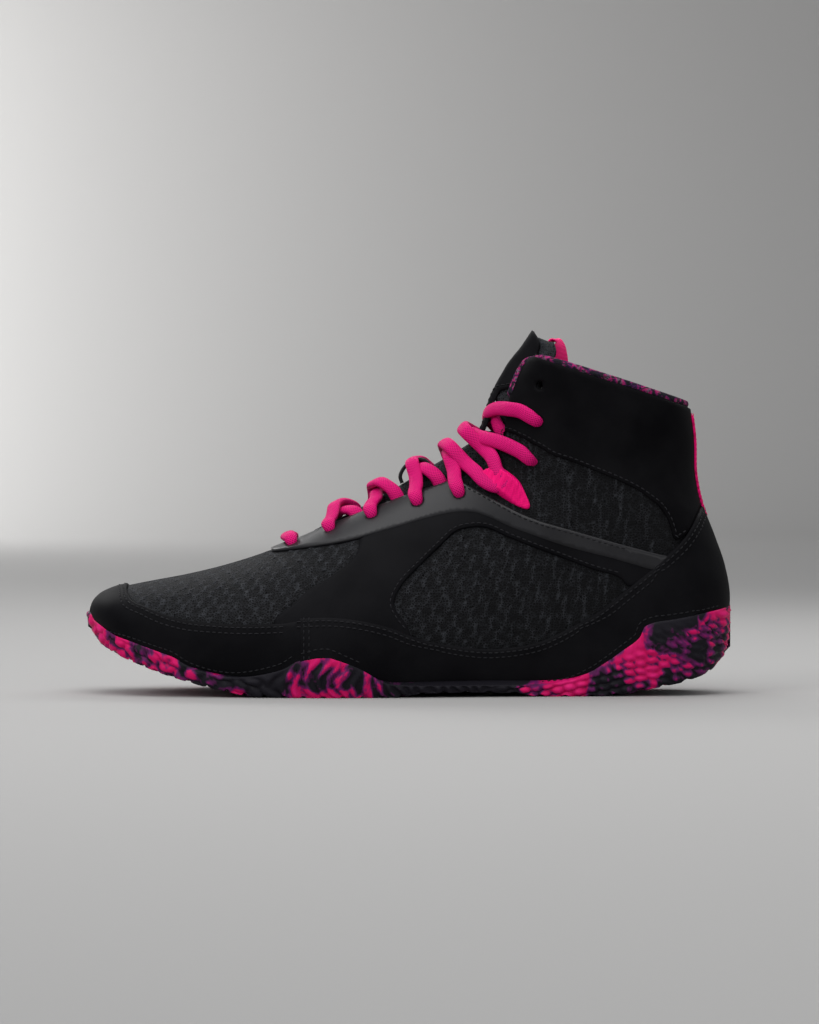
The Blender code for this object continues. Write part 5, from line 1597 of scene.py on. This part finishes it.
def band_rings(path, directions, width, thick):
    """A flat webbing band with rounded edges along a path, its width along the given directions."""
    path = np.array(path)
    ahead = unit(np.gradient(path, axis=0))
    rings = []
    for p, a, d in zip(path, ahead, directions):
        across = unit(np.array(d) - a * np.dot(a, d))
        up = np.cross(across, a)
        angles = 2 * math.pi * np.arange(20) / 20
        c, s = np.cos(angles), np.sin(angles)
        c, s = np.sign(c) * np.abs(c) ** 0.4, np.sign(s) * np.abs(s) ** 0.7
        rings.append(p + np.outer(c, across) * width / 2 + np.outer(s, up) * thick / 2)
    return rings


def near_ridge(r, height):
    row = rows(np.array([float(r)]))
    point = np.array([row.top_x[0], row.middle[0], row.top_z[0]])
    return point + facing(np.array([float(r)]), INNER, np.array([0.0]))[0] * (row.bulge[0] + height)


def curve_through(points, step=0.6 * MM):
    points = np.array(points, float)
    run = np.concatenate([[0], np.cumsum(np.linalg.norm(np.diff(points, axis=0), axis=1))])
    want = np.linspace(0, run[-1], int(run[-1] / step) + 2)
    slopes = np.gradient(points, run, axis=0)
    result = []
    for w in want:
        i = min(int(np.searchsorted(run, w, side="right")) - 1, len(points) - 2)
        h = run[i + 1] - run[i]
        t = (w - run[i]) / h
        result.append(
            points[i] * (2 * t**3 - 3 * t**2 + 1) + slopes[i] * h * (t**3 - 2 * t**2 + t)
            + points[i + 1] * (3 * t**2 - 2 * t**3) + slopes[i + 1] * h * (t**3 - t**2)
        )
    return np.array(result)


# The keeper's arch as (row, height in mm)
KEEPER_ARCH = [
    (11.10, 0.4), (11.12, 3.2), (11.25, 5.4), (11.50, 6.4), (11.74, 5.4), (11.86, 3.4), (11.90, 0.4),
]
keeper = [near_ridge(r, h * MM) for r, h in KEEPER_ARCH]
keeper_path = curve_through(keeper)
rings = band_rings(keeper_path, [(0, 1, 0)] * len(keeper_path), KEEPER_WIDTH, 1.7 * MM)
points, faces = tube_mesh(rings)
# Its darker second colour is painted shade between the ribs.
made = make("lace_keeper_web", points, faces,
    web_paint("black webbing", (0.02, 0.02, 0.022), (0.006, 0.006, 0.007), 0.6, 0.2), along_rings(rings))
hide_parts("lace_keeper")

tab = []
for r in (23.1, 23.7, 24.3):
    spot, outward = over_ridge(np.array([r]), np.array([0.0]),
        np.array([float(tongue_top(r, 0.0) - tongue_ply(r)) - GAP - 1.0 * MM]))
    tab.append(spot[0])
middle = tab[0][1]
tab += [np.array([along(x), middle, rise(z)]) for x, z in (
    (0.7195, 2.150), (0.7235, 2.190), (0.7290, 2.192), (0.7336, 2.145), (0.7360, 2.06), (0.7366, 1.97),
        (0.7360, 1.89),
)]
tab_path = curve_through(tab)
turns_of = np.radians(np.interp(np.linspace(0, 1, len(tab_path)), [0, 0.35, 0.6, 1], [0, 10, 22, 34]))
rings = band_rings(tab_path, [(math.sin(a), math.cos(a), 0) for a in turns_of], PULL_TAB_WIDTH, 1.3 * MM)
points, faces = tube_mesh(rings)
made = make("pull_tab_web", points, faces, WEB, along_rings(rings))
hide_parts("pull_tab")


# Floor, backdrop, light and camera

def stage_paint(name, colour, roughness):
    return Paint(name, colour, roughness).made


VIEW_DISTANCE, VIEW_TILT = 2.4, 1.2
AIM = Vector((0.0, 0.0, 0.0811))

floor_mesh = bpy.data.meshes.new("floor")
sweep = [(y, 0.0) for y in (-4.0, -1.0, 0.0, 1.0, 2.5)]
for k in range(13):
    angle = math.pi / 2 * k / 12
    sweep.append((2.8 + 0.5 * math.sin(angle), 0.5 - 0.5 * math.cos(angle)))
sweep += [(3.3, 1.5), (3.3, 4.0)]
floor_mesh.from_pydata(
    [(x, y, z) for y, z in sweep for x in (-4.0, 4.0)], [],
    [(2 * i, 2 * i + 1, 2 * i + 3, 2 * i + 2) for i in range(len(sweep) - 1)],
)
floor_mesh.shade_smooth()
floor_mesh.materials.append(stage_paint("pale studio sweep", (0.325, 0.320, 0.315), 0.80))
floor = bpy.data.objects.new("floor", floor_mesh)
bpy.context.scene.collection.objects.link(floor)


def area_light(name, spot, target, size, power):
    data = bpy.data.lights.new(name, "AREA")
    data.shape = "RECTANGLE"
    data.size, data.size_y = size
    data.energy = power
    made = bpy.data.objects.new(name, data)
    made.location = spot
    made.rotation_euler = (Vector(target) - Vector(spot)).to_track_quat("-Z", "Y").to_euler()
    made.visible_camera = False
    bpy.context.scene.collection.objects.link(made)


area_light("top_box", (-0.10, -0.18, 1.12), (0.0, -0.05, 0.03), (1.2, 0.9), 11)
area_light("key_box", (-1.1, -1.3, 1.1), (0.0, 0.0, 0.08), (0.9, 0.9), 11)
area_light("front_box", (0.6, -1.7, 0.7), (0.05, 0.0, 0.06), (1.2, 0.7), 5)
area_light("rear_box", (0.3, 0.75, 0.75), (0.0, 0.0, 0.1), (1.2, 0.3), 4)
area_light("floor_box", (-1.05, 1.55, 1.1), (-0.75, 1.45, 0.0), (0.9, 0.8), 14)
area_light("backdrop_box", (-1.20, 2.65, 0.42), (-0.62, 3.22, 0.06), (0.60, 0.45), 27)

world = bpy.data.worlds.new("studio")
world.use_nodes = True
world.node_tree.nodes["Background"].inputs["Color"].default_value = (0.9, 0.92, 0.95, 1)
world.node_tree.nodes["Background"].inputs["Strength"].default_value = 0.40
bpy.context.scene.world = world

camera_data = bpy.data.cameras.new("camera")
camera = bpy.data.objects.new("camera", camera_data)
bpy.context.scene.collection.objects.link(camera)
# The photograph's long side spans the sensor
SENSOR_WIDTH, PHOTO_SIDE, MM_PER_PIXEL = 36.0, 1024, 0.4493
camera_data.sensor_fit, camera_data.sensor_width = "AUTO", SENSOR_WIDTH
camera_data.lens = VIEW_DISTANCE * SENSOR_WIDTH / (PHOTO_SIDE * MM_PER_PIXEL * MM)
camera_data.clip_end = 20
tilt = math.radians(VIEW_TILT)
camera.location = AIM + Vector((0, -math.cos(tilt), math.sin(tilt))) * VIEW_DISTANCE
camera.rotation_euler = (AIM - camera.location).to_track_quat("-Z", "Y").to_euler()
bpy.context.scene.camera = camera
bpy.context.scene.view_settings.view_transform = "Standard"
